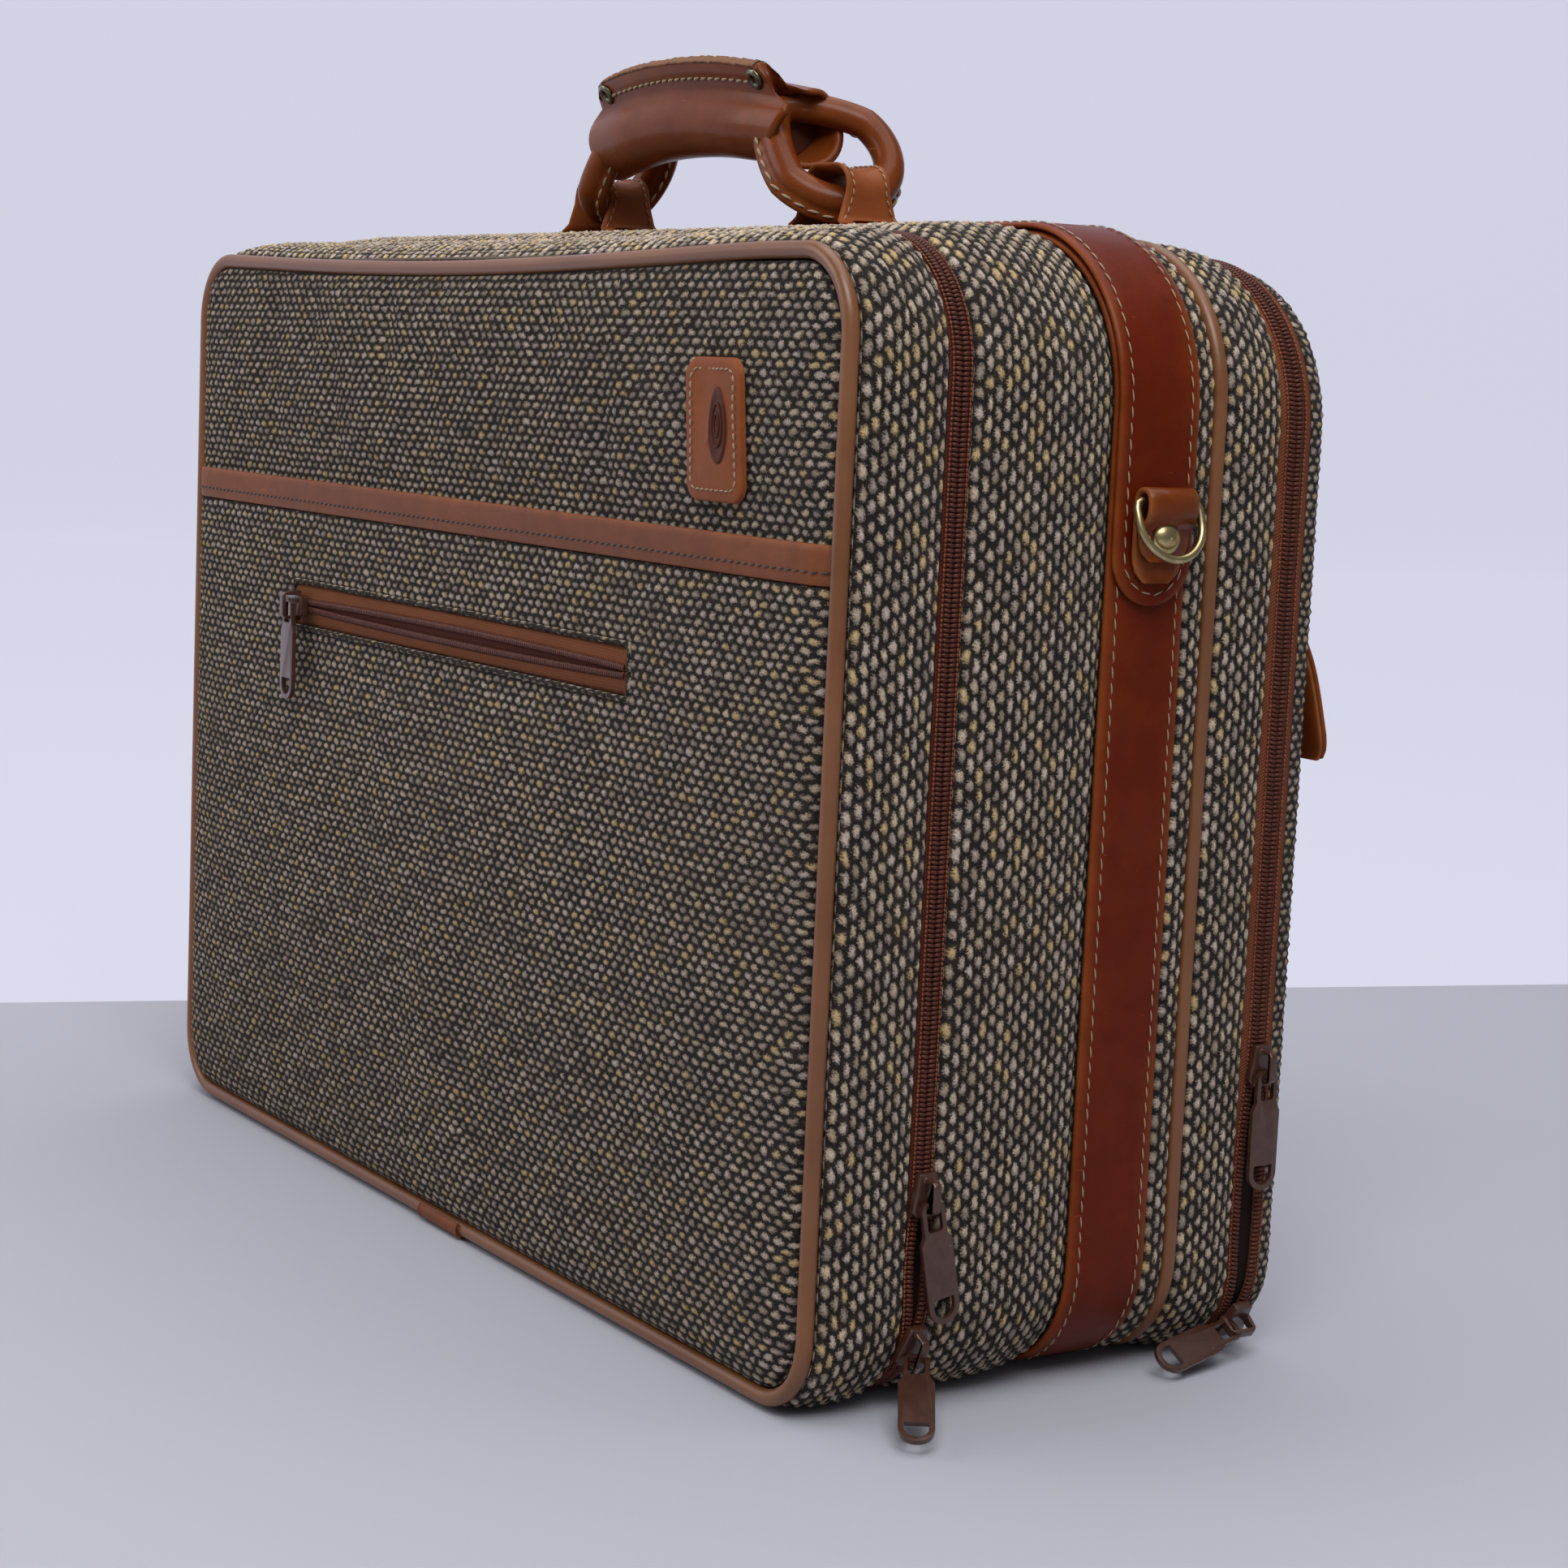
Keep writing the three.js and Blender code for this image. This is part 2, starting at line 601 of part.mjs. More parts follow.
// ---------------------------------------------------------------- rear lid

const rearEdge = REAR_ZIP.y + REAR_CHAIN.width + REAR_CHAIN.split / 2 + GAP;

// Outlines of the shallow dish, each one step further back and pulled in.
const DISH = [
  { back: 0, half: 271.6, bottom: 1, top: 397, low: 33, high: 59 },
  { back: 3.5, half: 270, bottom: 2.2, top: 395, low: 32, high: 57 },
  { back: 6.5, half: 266, bottom: 5.4, top: 391.4, low: 30, high: 54 },
  { back: 8.4, half: 259, bottom: 12, top: 385, low: 26, high: 48 },
];

function rearPanel() {
  const outer = DISH.map((line) => lift(outline(line), rearEdge + line.back));
  const inner = DISH.map((line) =>
    lift(outline(line, CLOTH), rearEdge + Math.max(line.back - CLOTH, 0)));
  return loft([...outer.reverse(), ...inner], false);
}
add('rear_panel', rearPanel(), 'tweed');
const rearBoardFront = rearEdge + DISH[3].back - CLOTH - GAP - BOARD;
add('rear_board', wholePlate(DISH[3], 5, rearBoardFront, BOARD), 'board');

// Leather strip down each side of the rear panel, with a doubled tab curling off its lower end.
const stripFront = rearEdge + DISH[3].back + GAP;

function rearStrap(side) {
  const { x, half, bottom, top, thick } = REAR_STRAP;
  const shape = roundedRect(side * x - half, side * x + half, bottom, top, 2, 6);
  return frontPlate(shape, stripFront, thick);
}

function rearTab(side) {
  const steps = 6;
  const drop = REAR_TAB.top - REAR_TAB.bottom;
  const rings = Array.from({ length: steps + 1 }, (_, i) => {
    const t = i / steps;
    const y = stripFront + REAR_TAB.curl * t * t;
    const z = REAR_TAB.top - drop * t;
    const half = REAR_STRAP.half - 1 - (i === steps ? 3 : 0);
    const x = side * REAR_STRAP.x;
    return [
      at(x - half, y, z), at(x + half, y, z),
      at(x + half, y + REAR_TAB.thick, z), at(x - half, y + REAR_TAB.thick, z),
    ];
  });
  return loft(rings, false);
}

for (const [side, geometry] of mirrored(rearStrap)) add(`rear_strap_${side}`, geometry, 'leather');
for (const [side, geometry] of mirrored(rearTab)) add(`rear_tab_${side}`, geometry, 'leather');

// ---------------------------------------------------------------- zip sliders and pulls

// Slider in its own frame: x across the zip, y along it, z away from the cloth.
function sliderSolid(bailAcross) {
  const { length, width, thick, bail, gap, arch } = SLIDER;
  const body = new THREE.Shape();
  body.moveTo(-width / 2, -length / 2 + 2);
  body.lineTo(-width / 2 + 2, -length / 2);
  body.lineTo(width / 2 - 2, -length / 2);
  body.lineTo(width / 2, -length / 2 + 2);
  body.lineTo(width / 2 - 2.4, length / 2);
  body.lineTo(2.4 - width / 2, length / 2);
  const reach = length / 2 - 1;
  const bridge = new THREE.Shape();
  bridge.moveTo(-reach, 0.5);
  bridge.lineTo(reach, 0.5);
  bridge.lineTo(reach - 0.8, thick + gap);
  bridge.lineTo(reach - 2.2, thick + gap + arch);
  bridge.lineTo(2.2 - reach, thick + gap + arch);
  bridge.lineTo(0.8 - reach, thick + gap);
  const window = roundedRect(-reach + 2, reach - 2, thick, thick + gap, 0);
  bridge.holes.push(new THREE.Path(window.getPoints()));
  const up = Z.clone();
  const bodySolid = slab(body, thick, at(0, 0, 0), X, Y);
  const along = bailAcross ? X.clone() : Y.clone();
  const thin = along.clone().cross(up).multiplyScalar(-bail / 2);
  return join(bodySolid, slab(bridge, bail, thin, along, up));
}

// Pull in its own frame: x across, y towards the hinge at the origin, z out of its face.
function pullSolid() {
  const { length, top, end, thick, window, windowLength, slot } = PULL;
  const rise = 0.9;
  const shape = new THREE.Shape();
  shape.moveTo(-top / 2 + 1.6, rise);
  shape.lineTo(-top / 2, -1.4);
  shape.lineTo(-top / 2, -windowLength - 1);
  shape.lineTo(-end / 2, -windowLength - 4);
  shape.lineTo(-end / 2, -length + end / 2);
  shape.absarc(0, -length + end / 2, end / 2, Math.PI, 2 * Math.PI);
  shape.lineTo(end / 2, -windowLength - 4);
  shape.lineTo(top / 2, -windowLength - 1);
  shape.lineTo(top / 2, -1.4);
  shape.lineTo(top / 2 - 1.6, rise);
  const bail = roundedRect(-window / 2, window / 2, -windowLength, rise - 1.8, 1.2);
  const eye = new THREE.Path();
  eye.absarc(0, -length + end / 2, end / 2 - 2, Math.PI, 2 * Math.PI);
  eye.lineTo(end / 2 - 2, -length + end / 2 + slot - 2);
  eye.lineTo(2 - end / 2, -length + end / 2 + slot - 2);
  shape.holes.push(new THREE.Path(bail.getPoints()), eye);
  return slab(shape, thick, at(0, 0, -thick / 2), X, Y);
}

// Adds a slider standing on the chain at `foot` and the pull hanging from its bail.
function zipper(name, { foot, along, out, hang, bailAcross = false }) {
  const across = along.clone().cross(out);
  const drop = bailAcross ? across.clone() : along.clone();
  const hinge = foot.clone().addScaledVector(out, HINGE_RISE).addScaledVector(drop, -HINGE_DROP);
  const up = hang.direction.clone().normalize().negate();
  const wide = hang.axis.clone().projectOnPlane(up).normalize();
  add(`${name}_slider`, place(sliderSolid(bailAcross), foot, across, along), 'paint');
  add(`${name}_pull`, place(pullSolid(), hinge, wide, up), 'paint');
}

// Point and directions on the right-hand side of a zip's outline, at an angle round its corner.
function onCorner(line, angle, clearance = GAP) {
  const out = at(Math.cos(radians(angle)), 0, Math.sin(radians(angle)));
  const along = at(-out.z, 0, out.x);
  const radius = line.low + CHAIN_PROUD + clearance;
  const foot = at(line.half - line.low, line.y, line.bottom + line.low).addScaledVector(out, radius);
  return { foot, along, out };
}

const onSide = (line, z) => ({
  foot: at(line.half + CHAIN_PROUD + GAP, line.y, z),
  along: Z.clone(),
  out: X.clone(),
});

zipper('front_upper', {
  ...onSide(FRONT_ZIP, 78),
  hang: { direction: at(0, 0.19, -0.98), axis: at(0, 0.98, 0.19) },
});
zipper('front_lower', {
  ...onCorner(FRONT_ZIP, -22),
  hang: { direction: at(0.86, -0.34, -0.38), axis: at(0.34, 0.86, 0) },
});
zipper('rear_upper', {
  ...onSide(REAR_ZIP, 110),
  hang: { direction: at(0, 0, -1), axis: at(0, 1, 0) },
});
// The rear lid's chain passes under this slider as the lid opens, so it stands clear.
zipper('rear_lower', {
  ...onCorner(REAR_ZIP, -34, 1.2),
  bailAcross: true,
  hang: { direction: at(0.34, -0.93, -0.12), axis: at(0.8, 0.22, 0.52) },
});
zipper('pocket', {
  foot: at(POCKET_ZIP.left + 11, toothFront - GAP, POCKET_ZIP.middle),
  along: X.clone(),
  out: Y.clone().negate(),
  bailAcross: true,
  hang: { direction: at(0, 0, -1), axis: at(1, 0, 0) },
});

export default group;
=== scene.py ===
"""Softside upright suitcase: the looks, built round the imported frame. Metres, front lid facing -Y."""

import math

import bpy
import numpy as np
from mathutils import Matrix, Vector


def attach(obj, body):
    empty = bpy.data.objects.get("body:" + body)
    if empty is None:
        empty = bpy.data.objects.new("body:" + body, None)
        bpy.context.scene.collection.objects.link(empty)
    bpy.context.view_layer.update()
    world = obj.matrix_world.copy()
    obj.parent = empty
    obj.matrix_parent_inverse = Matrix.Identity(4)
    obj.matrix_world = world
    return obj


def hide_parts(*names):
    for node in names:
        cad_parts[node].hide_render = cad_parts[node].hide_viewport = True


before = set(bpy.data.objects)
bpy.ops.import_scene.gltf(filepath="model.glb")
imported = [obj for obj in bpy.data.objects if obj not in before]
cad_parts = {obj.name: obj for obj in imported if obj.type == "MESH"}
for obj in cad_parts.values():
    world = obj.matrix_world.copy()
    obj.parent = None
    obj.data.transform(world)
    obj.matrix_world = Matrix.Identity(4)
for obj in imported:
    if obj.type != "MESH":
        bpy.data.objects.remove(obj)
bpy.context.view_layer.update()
rng = np.random.default_rng(7)

# ------------------------------------------------------------------ dimensions

# Case outline, front to back: y, half width, bottom, top, bottom and top corner radius.
LINES = np.array(
    [
        (-0.1218, 0.2720, 0.0042, 0.3910, 0.026, 0.028),
        (-0.1183, 0.2736, 0.0026, 0.3934, 0.028, 0.031),
        (-0.0800, 0.2755, 0.0008, 0.3984, 0.040, 0.046),
        (-0.0182, 0.2752, 0.0034, 0.4010, 0.042, 0.057),
        (0.0182, 0.2752, 0.0034, 0.4010, 0.042, 0.057),
        (0.0306, 0.2740, 0.0031, 0.4004, 0.040, 0.054),
        (0.0680, 0.2720, 0.0008, 0.3976, 0.034, 0.060),
        (0.0759, 0.2716, 0.0010, 0.3970, 0.033, 0.059),
    ]
)
FRONT_SEAM_Y, REAR_SEAM_Y, REAR_EDGE = -0.1218, 0.0306, 0.0759
SAG = 0.005

# Tweed: thickness, weave spacing and how far the yarns stand out.
CLOTH = 0.0026
GUSSET_CELL, PANEL_CELL = 0.0033, 0.0032
RELIEF = 0.0010
BODY_GUSSET, FRONT_GUSSET, REAR_GUSSET = (-0.0749, 0.0273), (-0.1183, -0.0851), (0.0339, 0.0601)
PANEL_HALF, PANEL_LOW, PANEL_HIGH, PANEL_CORNERS = 0.2684, 0.0078, 0.3874, (0.0224, 0.0244)
PANEL_FRONT, PANEL_BACK = -0.1249, -0.1223
POCKET_HALF, POCKET_LOW, POCKET_TOP, POCKET_FRONT = 0.268, 0.0084, 0.282, -0.1275
DISH = 0.0110

PIPING = 0.003
STRAP_HALF, STRAP_BASE, STRAP_TOP = 0.01715, 0.0004, 0.0034
OVERLAY_TOP, OVERLAY_END = 0.0061, 0.277
OVERLAY = OVERLAY_TOP - STRAP_TOP - 0.0003
SEAM_IN = 0.0042

TOOTH = 0.00165
TAPE_STEP = 0.0040
POCKET_ZIP_LEFT, POCKET_ZIP_RIGHT, POCKET_ZIP_Z = -0.149, 0.145, 0.242
# Side zips: depth, half width, the open length's bottom, top and width, and the size of the coil.
ZIPS = {
    "front": {"y": -0.080, "half": 0.0048, "gap": (0.030, 0.072, 0.0016), "coil": 0.0030},
    "rear": {"y": 0.068, "half": 0.0076, "gap": (0.006, 0.104, 0.0030), "coil": 0.0034},
}
# Pulls that lie askew: their hinge, the way they point and the way their flat side faces.
LAID = {
    "front_lower": ((0.278, -0.080, 0.021), (0.772, -0.509, -0.38), (0.317, -0.209, 0.925)),
    "rear_lower": ((0.2726, 0.0656, 0.0115), (0.21, -0.965, -0.12), (0.62, 0.0, 0.78)),
}

DRING_Z, STUD_Z, TAB_BACK = 0.313, 0.3005, 0.2816
TAB_HALF, TAB_THICK = 0.0108, 0.0024
DRING_HALF, DRING_DROP, DRING_WIRE, DRING_SWING = 0.0135, 0.0205, 0.0015, math.radians(20)

PATCH_AT, PATCH_SIZE, PATCH_BACK, PATCH_THICK = (0.200, 0.3305), (0.038, 0.049), -0.1254, 0.0019
OVAL_AT, OVAL_RADII = (0.204, 0.332), (0.0062, 0.0130)
TRIM_HALF, TRIM_THICK = 0.00685, 0.0022

# Handle, drawn upright over its hinge, then moved sideways and leant forward.
HANDLE_SHIFT, HANDLE_HINGE, HANDLE_LEAN = -0.015, 0.4365, math.radians(35)
RING_AT, RING_RADIUS, RING_LEAN = 0.088, 0.0215, math.radians(32)
LOOP_WIDE, LOOP_LONG, LOOP_TUBE, LOOP_LEAN = 0.0205, 0.027, 0.0061, math.radians(44)
GRIP_HALF, GRIP_Z, GRIP_SAG, GRIP_WIDE, GRIP_HIGH = 0.076, 0.456, 0.008, 0.017, 0.015
FLANGE, NECK = 0.0122, 0.0026
EYELET_AT, EYELET_RISE = 0.060, 0.0067
CHAPE_INNER, CHAPE_OUTER, CHAPE_WING, CHAPE_TOP = 0.0792, 0.1086, 0.0080, 0.4276
CHAPE_HALF, CHAPE_THICK, CHAPE_SADDLE = 0.0100, 0.0022, 0.0032

BACK_STRAP_AT, BACK_STRAP_HALF, BACK_STRAP_Y = 0.242, 0.013, 0.0889
BACK_TAB_TOP, BACK_TAB_LONG = 0.263, 0.046

AZIMUTH, ELEVATION, ROLL = math.radians(57.53), math.radians(7.40), math.radians(2.52)
CAMERA_AT = Vector((1.1275, -0.6840, 0.3506))
LENS = 72.6
FLOOR_Z = -0.0005
FLOOR_EDGE, FLOOR_TURN = 0.43, AZIMUTH + math.radians(16.0)
STAGE_REACH = 8

X, Y, Z = np.eye(3)
MIRROR = np.array([-1, 1, 1])
SIDES = ((1, "r"), (-1, "l"))


# ------------------------------------------------------------------ shader helpers

class Shader:
    """Builds one node material, with short calls for the nodes used over and over."""

    def __init__(self, name):
        self.material = bpy.data.materials.new(name)
        self.material.use_nodes = True
        self.tree = self.material.node_tree

    def feed(self, socket, value):
        if isinstance(value, bpy.types.NodeSocket):
            self.tree.links.new(value, socket)
        elif isinstance(value, tuple) and len(value) == 3 and socket.type == "RGBA":
            socket.default_value = (*value, 1)
        else:
            socket.default_value = value

    def feed_named(self, node, inputs):
        for key, value in inputs.items():
            self.feed(node.inputs[key.replace("_", " ")], value)

    def node(self, kind, *values, **inputs):
        """Adds a node, its sockets fed in their order or by name."""
        node = self.tree.nodes.new("ShaderNode" + kind)
        for socket, value in zip(node.inputs, values):
            self.feed(socket, value)
        self.feed_named(node, inputs)
        return node

    def math(self, operation, *values, clamp=False):
        node = self.node("Math", *values)
        node.operation = operation
        node.use_clamp = clamp
        return node.outputs[0]

    def vector(self, operation, *values):
        node = self.node("VectorMath", *values)
        node.operation = operation
        return node.outputs["Vector"]

    def mix(self, factor, a, b, blend="MIX"):
        node = self.node("Mix")
        node.data_type = "RGBA"
        node.blend_type = blend
        sockets = {socket.identifier: socket for socket in (*node.inputs, *node.outputs)}
        for key, value in (("Factor_Float", factor), ("A_Color", a), ("B_Color", b)):
            self.feed(sockets[key], value)
        return sockets["Result_Color"]

    def fit(self, value, low, high, to_low=0.0, to_high=1.0):
        return self.node("MapRange", value, low, high, to_low, to_high).outputs["Result"]

    def noise(self, place, scale, detail=2.0, rough=0.5):
        node = self.node("TexNoise", Vector=place, Scale=scale, Detail=detail, Roughness=rough)
        return node.outputs["Fac"]

    def stretched_noise(self, place, scales, detail, rough):
        mapping = self.node("Mapping", Vector=place, Scale=scales)
        return self.noise(mapping.outputs["Vector"], 1.0, detail, rough)

    def surface(self):
        """Coordinates laid out along the piece: along, round and across it."""
        node = self.node("Attribute")
        node.attribute_name = "lay"
        return node.outputs["Vector"]

    def position(self):
        return self.node("TexCoord").outputs["Object"]

    def split(self, vector):
        return tuple(self.node("SeparateXYZ", Vector=vector).outputs)

    def bump(self, height, distance, strength):
        return self.node("Bump", Height=height, Distance=distance, Strength=strength).outputs["Normal"]

    def finish(self, **inputs):
        self.feed_named(self.tree.nodes["Principled BSDF"], inputs)
        return self.material


def dim(colour, factor):
    return tuple(factor * channel for channel in colour)


# ------------------------------------------------------------------ materials

def tweed_material(name, cell, painted_shade, flat=False):
    """Plain-woven tweed: hairy pale floats, longer than their cell, over near-black yarn."""
    s = Shader(name)
    place = s.position() if flat else s.surface()
    moved = place
    for scale, detail, reach in ((190.0, 1.0, (0.0024, 0.0024, 0.0)), (1500.0, 2.0, (0.0026, 0.0022, 0.0))):
        noise = s.node("TexNoise", Vector=place, Scale=scale, Detail=detail)
        offset = s.vector("SUBTRACT", noise.outputs["Color"], (0.5, 0.5, 0.5))
        moved = s.vector("MULTIPLY_ADD", offset, reach, moved)
    u, v = (s.math("DIVIDE", axis, cell) for axis in s.split(moved)[:2])
    column, row = (s.math("FLOOR", axis) for axis in (u, v))
    fu, fv = (s.math("SUBTRACT", s.math("FRACT", axis), 0.5) for axis in (u, v))
    parity = s.math("FLOORED_MODULO", s.math("ADD", column, row), 2.0)
    dark_cell = s.math("GREATER_THAN", parity, 0.5)
    # The floats before and behind a dark cell reach into it.
    span = s.math("ABSOLUTE", fu)
    beyond = s.math("SUBTRACT", 1.0, s.math("MULTIPLY", span, 2.0))
    span = s.math("MULTIPLY_ADD", dark_cell, beyond, span)
    owner = s.math("MULTIPLY_ADD", dark_cell, s.math("SIGN", fu), column)
    random = s.node("TexWhiteNoise", Vector=s.node("CombineXYZ", X=owner, Y=row).outputs["Vector"])
    tone, hue, extra = s.split(random.outputs["Color"])
    halves = ((span, s.fit(tone, 0.0, 1.0, 0.76, 1.0)), (s.math("ABSOLUTE", fv), 0.46))
    oval = s.math("ADD", *(s.math("POWER", s.math("DIVIDE", *pair), 2.0) for pair in halves))
    float_height = s.math("SUBTRACT", 1.0, oval, clamp=True)
    fibre = s.stretched_noise(place, (700.0, 3200.0, 1.0), 3.0, 0.7)
    hairs = s.stretched_noise(place, (1700.0, 1700.0, 1.0), 4.0, 0.8)
    pale = s.mix(s.fit(hue, 0.35, 0.65), (1.0, 0.79, 0.56), (0.95, 0.78, 0.65))
    pale = s.mix(s.math("GREATER_THAN", extra, 0.88), pale, (0.94, 0.68, 0.35))
    pale = s.mix(s.fit(extra, 0.0, 0.8, 0.6, 0.0), pale, (0.20, 0.155, 0.12))
    dark = s.mix(s.math("GREATER_THAN", extra, 0.8), (0.008, 0.007, 0.009), (0.032, 0.024, 0.021))
    ragged = s.math("MULTIPLY_ADD", s.math("SUBTRACT", hairs, 0.5), 1.3, float_height)
    yarn = s.mix(s.fit(ragged, 0.10, 0.92), dark, pale)
    yarn = s.mix(s.fit(fibre, 0.40, 0.75, 0.0, 0.62), yarn, (0.034, 0.026, 0.021))
    yarn = s.mix(s.fit(hairs, 0.66, 0.85, 0.0, 0.35), yarn, (0.45, 0.36, 0.29))
    yarn = s.mix(s.fit(s.noise(place, 9.0, 3.0), 0.3, 0.7, 0.0, 0.18), yarn, (0.06, 0.045, 0.035))
    # Painted shade: the whole cloth is darkened by a factor set for each copy of this same tweed.
    yarn = s.mix(1.0, yarn, (painted_shade, painted_shade, painted_shade), blend="MULTIPLY")
    return s.finish(
        Base_Color=yarn, Roughness=0.95, Specular_IOR_Level=0.12,
        Sheen_Weight=0.07, Sheen_Roughness=0.6, Sheen_Tint=(0.85, 0.76, 0.66),
        Normal=s.bump(s.math("MULTIPLY_ADD", hairs, 0.55, float_height), 0.0011, 0.9),
    )


def leather_material(name, centre, edge, rough=0.34, wear=0.35, gloss=0.05):
    """Saddle leather: burnished edges and middle, faint grain, scuffs and scratches."""
    s = Shader(name)
    _, _, across = s.split(s.surface())
    rim = s.math("POWER", s.math("ABSOLUTE", across), 7.0)
    blotch = s.noise(s.position(), 14.0, 5.0, 0.6)
    fine = s.noise(s.position(), 85.0, 5.0, 0.65)
    streak = s.stretched_noise(s.position(), (35.0, 60.0, 420.0), 2.0, 0.5)
    mixed = s.math("ADD", rim, s.fit(blotch, 0.35, 0.7, -0.25, wear), clamp=True)
    colour = s.mix(mixed, centre, edge)
    colour = s.mix(s.fit(fine, 0.4, 0.75, 0.0, 0.45), colour, dim(centre, 0.55))
    colour = s.mix(s.math("MULTIPLY", s.fit(streak, 0.74, 0.78), 0.5), colour, dim(edge, 1.5))
    pores = s.node("TexVoronoi", Vector=s.position(), Scale=1400.0)
    height = s.math("ADD", s.math("MULTIPLY", pores.outputs["Distance"], 0.6), fine)
    return s.finish(
        Base_Color=colour, Roughness=s.fit(blotch, 0.3, 0.8, rough, rough + 0.2),
        Coat_Weight=gloss, Coat_Roughness=0.12, Specular_IOR_Level=0.10 + 0.4 * gloss,
        Normal=s.bump(height, 0.00012, 0.6),
    )


def mottled_material(
    name, tones, noise, band=(0.3, 0.7), rough=0.9, bump=None, grain=None, chips=None, **more
):
    """Two tones in soft blotches; `rough` may range over them. `bump` is a distance and a strength,
    raised by the blotches or by a finer grain, and `chips` the colour of spots worn through."""
    s = Shader(name)
    blotch = s.noise(s.position(), *noise)
    colour = s.mix(s.fit(blotch, *band), *tones)
    if chips:
        colour = s.mix(s.fit(s.noise(s.position(), 420.0), 0.72, 0.76, 0.0, 0.6), colour, chips)
    if isinstance(rough, tuple):
        rough = s.fit(blotch, 0.3, 0.7, *rough)
    if bump:
        more["Normal"] = s.bump(s.noise(s.position(), grain) if grain else blotch, *bump)
    return s.finish(Base_Color=colour, Roughness=rough, **more)


def thread_material(name, colour):
    s = Shader(name)
    twist = s.node("TexWave", Vector=s.position(), Scale=900.0, Distortion=1.0)
    tone = s.mix(s.fit(twist.outputs["Fac"], 0.2, 0.8, 0.0, 0.4), colour, dim(colour, 0.5))
    return s.finish(Base_Color=tone, Roughness=0.7, Sheen_Weight=0.2)


def tape_material(name, colour, dark):
    """Twill zip tape: fine slanted ribs."""
    s = Shader(name)
    along, round_it, _ = s.split(s.surface())
    ribs = s.math("SINE", s.math("MULTIPLY", s.math("ADD", along, s.math("MULTIPLY", round_it, 0.6)), 5200.0))
    rows = s.math("SINE", s.math("MULTIPLY", round_it, 6200.0))
    weave = s.fit(s.math("ADD", ribs, s.math("MULTIPLY", rows, 0.6)), -1.6, 1.6)
    mottled = s.fit(s.noise(s.position(), 60.0, 3.0), 0.3, 0.7, 0.0, 0.35)
    tone = s.mix(weave, dark, s.mix(mottled, colour, dark))
    normal = s.bump(weave, 0.0003, 0.8)
    return s.finish(Base_Color=tone, Roughness=0.85, Specular_IOR_Level=0.15, Normal=normal)


def lining_material(name, colour):
    s = Shader(name)
    x, y, z = s.split(s.position())
    warp, weft = (s.math("SINE", s.math("MULTIPLY", axis, 4200.0)) for axis in (s.math("ADD", x, y), z))
    weave = s.fit(s.math("MULTIPLY", warp, weft), -1.0, 1.0)
    tone = s.mix(weave, dim(colour, 0.7), colour)
    # Painted shade: large soft darker patches stand in for the shade in creases.
    painted_crease_shade = s.noise(s.position(), 8.0, 3.0)
    tone = s.mix(s.fit(painted_crease_shade, 0.3, 0.7, 0.0, 0.25), tone, dim(colour, 0.4))
    return s.finish(Base_Color=tone, Roughness=0.8, Sheen_Weight=0.2, Normal=s.bump(weave, 0.0002, 0.6))


def coil_material(name, colour):
    tones = (colour, dim(colour, 0.55))
    return mottled_material(name, tones, (500.0,), rough=0.38, Specular_IOR_Level=0.25)


def brass_material(name, bright, dull):
    return mottled_material(
        name, (bright, dull), (160.0, 4.0, 0.6), (0.35, 0.7), (0.2, 0.42), (0.00004, 0.5), Metallic=1.0
    )


def stage_material(name, colour, **more):
    tones, band = (colour, dim(colour, 0.8)), (0.3, 0.7, 0.0, 0.06)
    return mottled_material(name, tones, (1.6, 3.0), band, 0.8, Specular_IOR_Level=0.2, **more)


# Three copies of one tweed, darkened by different factors as painted shade: most on the panels and hinge
# strips.
TWEED = tweed_material("tweed_gusset", GUSSET_CELL, 0.92)
PANEL_TWEED = tweed_material("tweed_panel", PANEL_CELL, 0.72)
FLAT_TWEED = tweed_material("tweed_flat", GUSSET_CELL, 0.7, flat=True)
LEATHER = leather_material("saddle_leather", (0.122, 0.012, 0.001), (0.25, 0.055, 0.010))
HANDLE_LEATHER = leather_material(
    "handle_leather", (0.160, 0.032, 0.004), (0.32, 0.098, 0.024), rough=0.26, wear=0.5, gloss=0.12
)
TRIM_LEATHER = leather_material("trim_leather", (0.175, 0.055, 0.024), (0.245, 0.078, 0.028), 0.42, 0.7)
PALE_LEATHER = leather_material("pale_leather", (0.245, 0.066, 0.018), (0.25, 0.064, 0.014), 0.42, 0.5)
DARK_LEATHER = leather_material("dark_leather", (0.085, 0.022, 0.012), (0.110, 0.030, 0.016), 0.5)
CUT_LEATHER = mottled_material(
    "cut_leather", ((0.135, 0.0625, 0.031), (0.27, 0.125, 0.062)), (1800.0, 4.0, 0.8),
    rough=0.95, bump=(0.0004, 0.8),
)
VINYL = mottled_material(
    "piping_vinyl", ((0.158, 0.056, 0.019), (0.215, 0.084, 0.031)), (22.0, 4.0), rough=(0.3, 0.42),
    bump=(0.00008, 0.5), grain=700.0, Specular_IOR_Level=0.5,
)
THREAD = thread_material("beige_thread", (0.37, 0.27, 0.16))
DARK_THREAD = thread_material("dark_thread", (0.035, 0.018, 0.012))
COIL = coil_material("zip_coil", (0.105, 0.027, 0.014))
CHAIN_THREAD = coil_material("chain_thread", (0.25, 0.070, 0.034))
TAPE = tape_material("maroon_tape", (0.125, 0.033, 0.018), (0.055, 0.013, 0.008))
REAR_TAPE = tape_material("russet_tape", (0.24, 0.080, 0.036), (0.11, 0.032, 0.016))
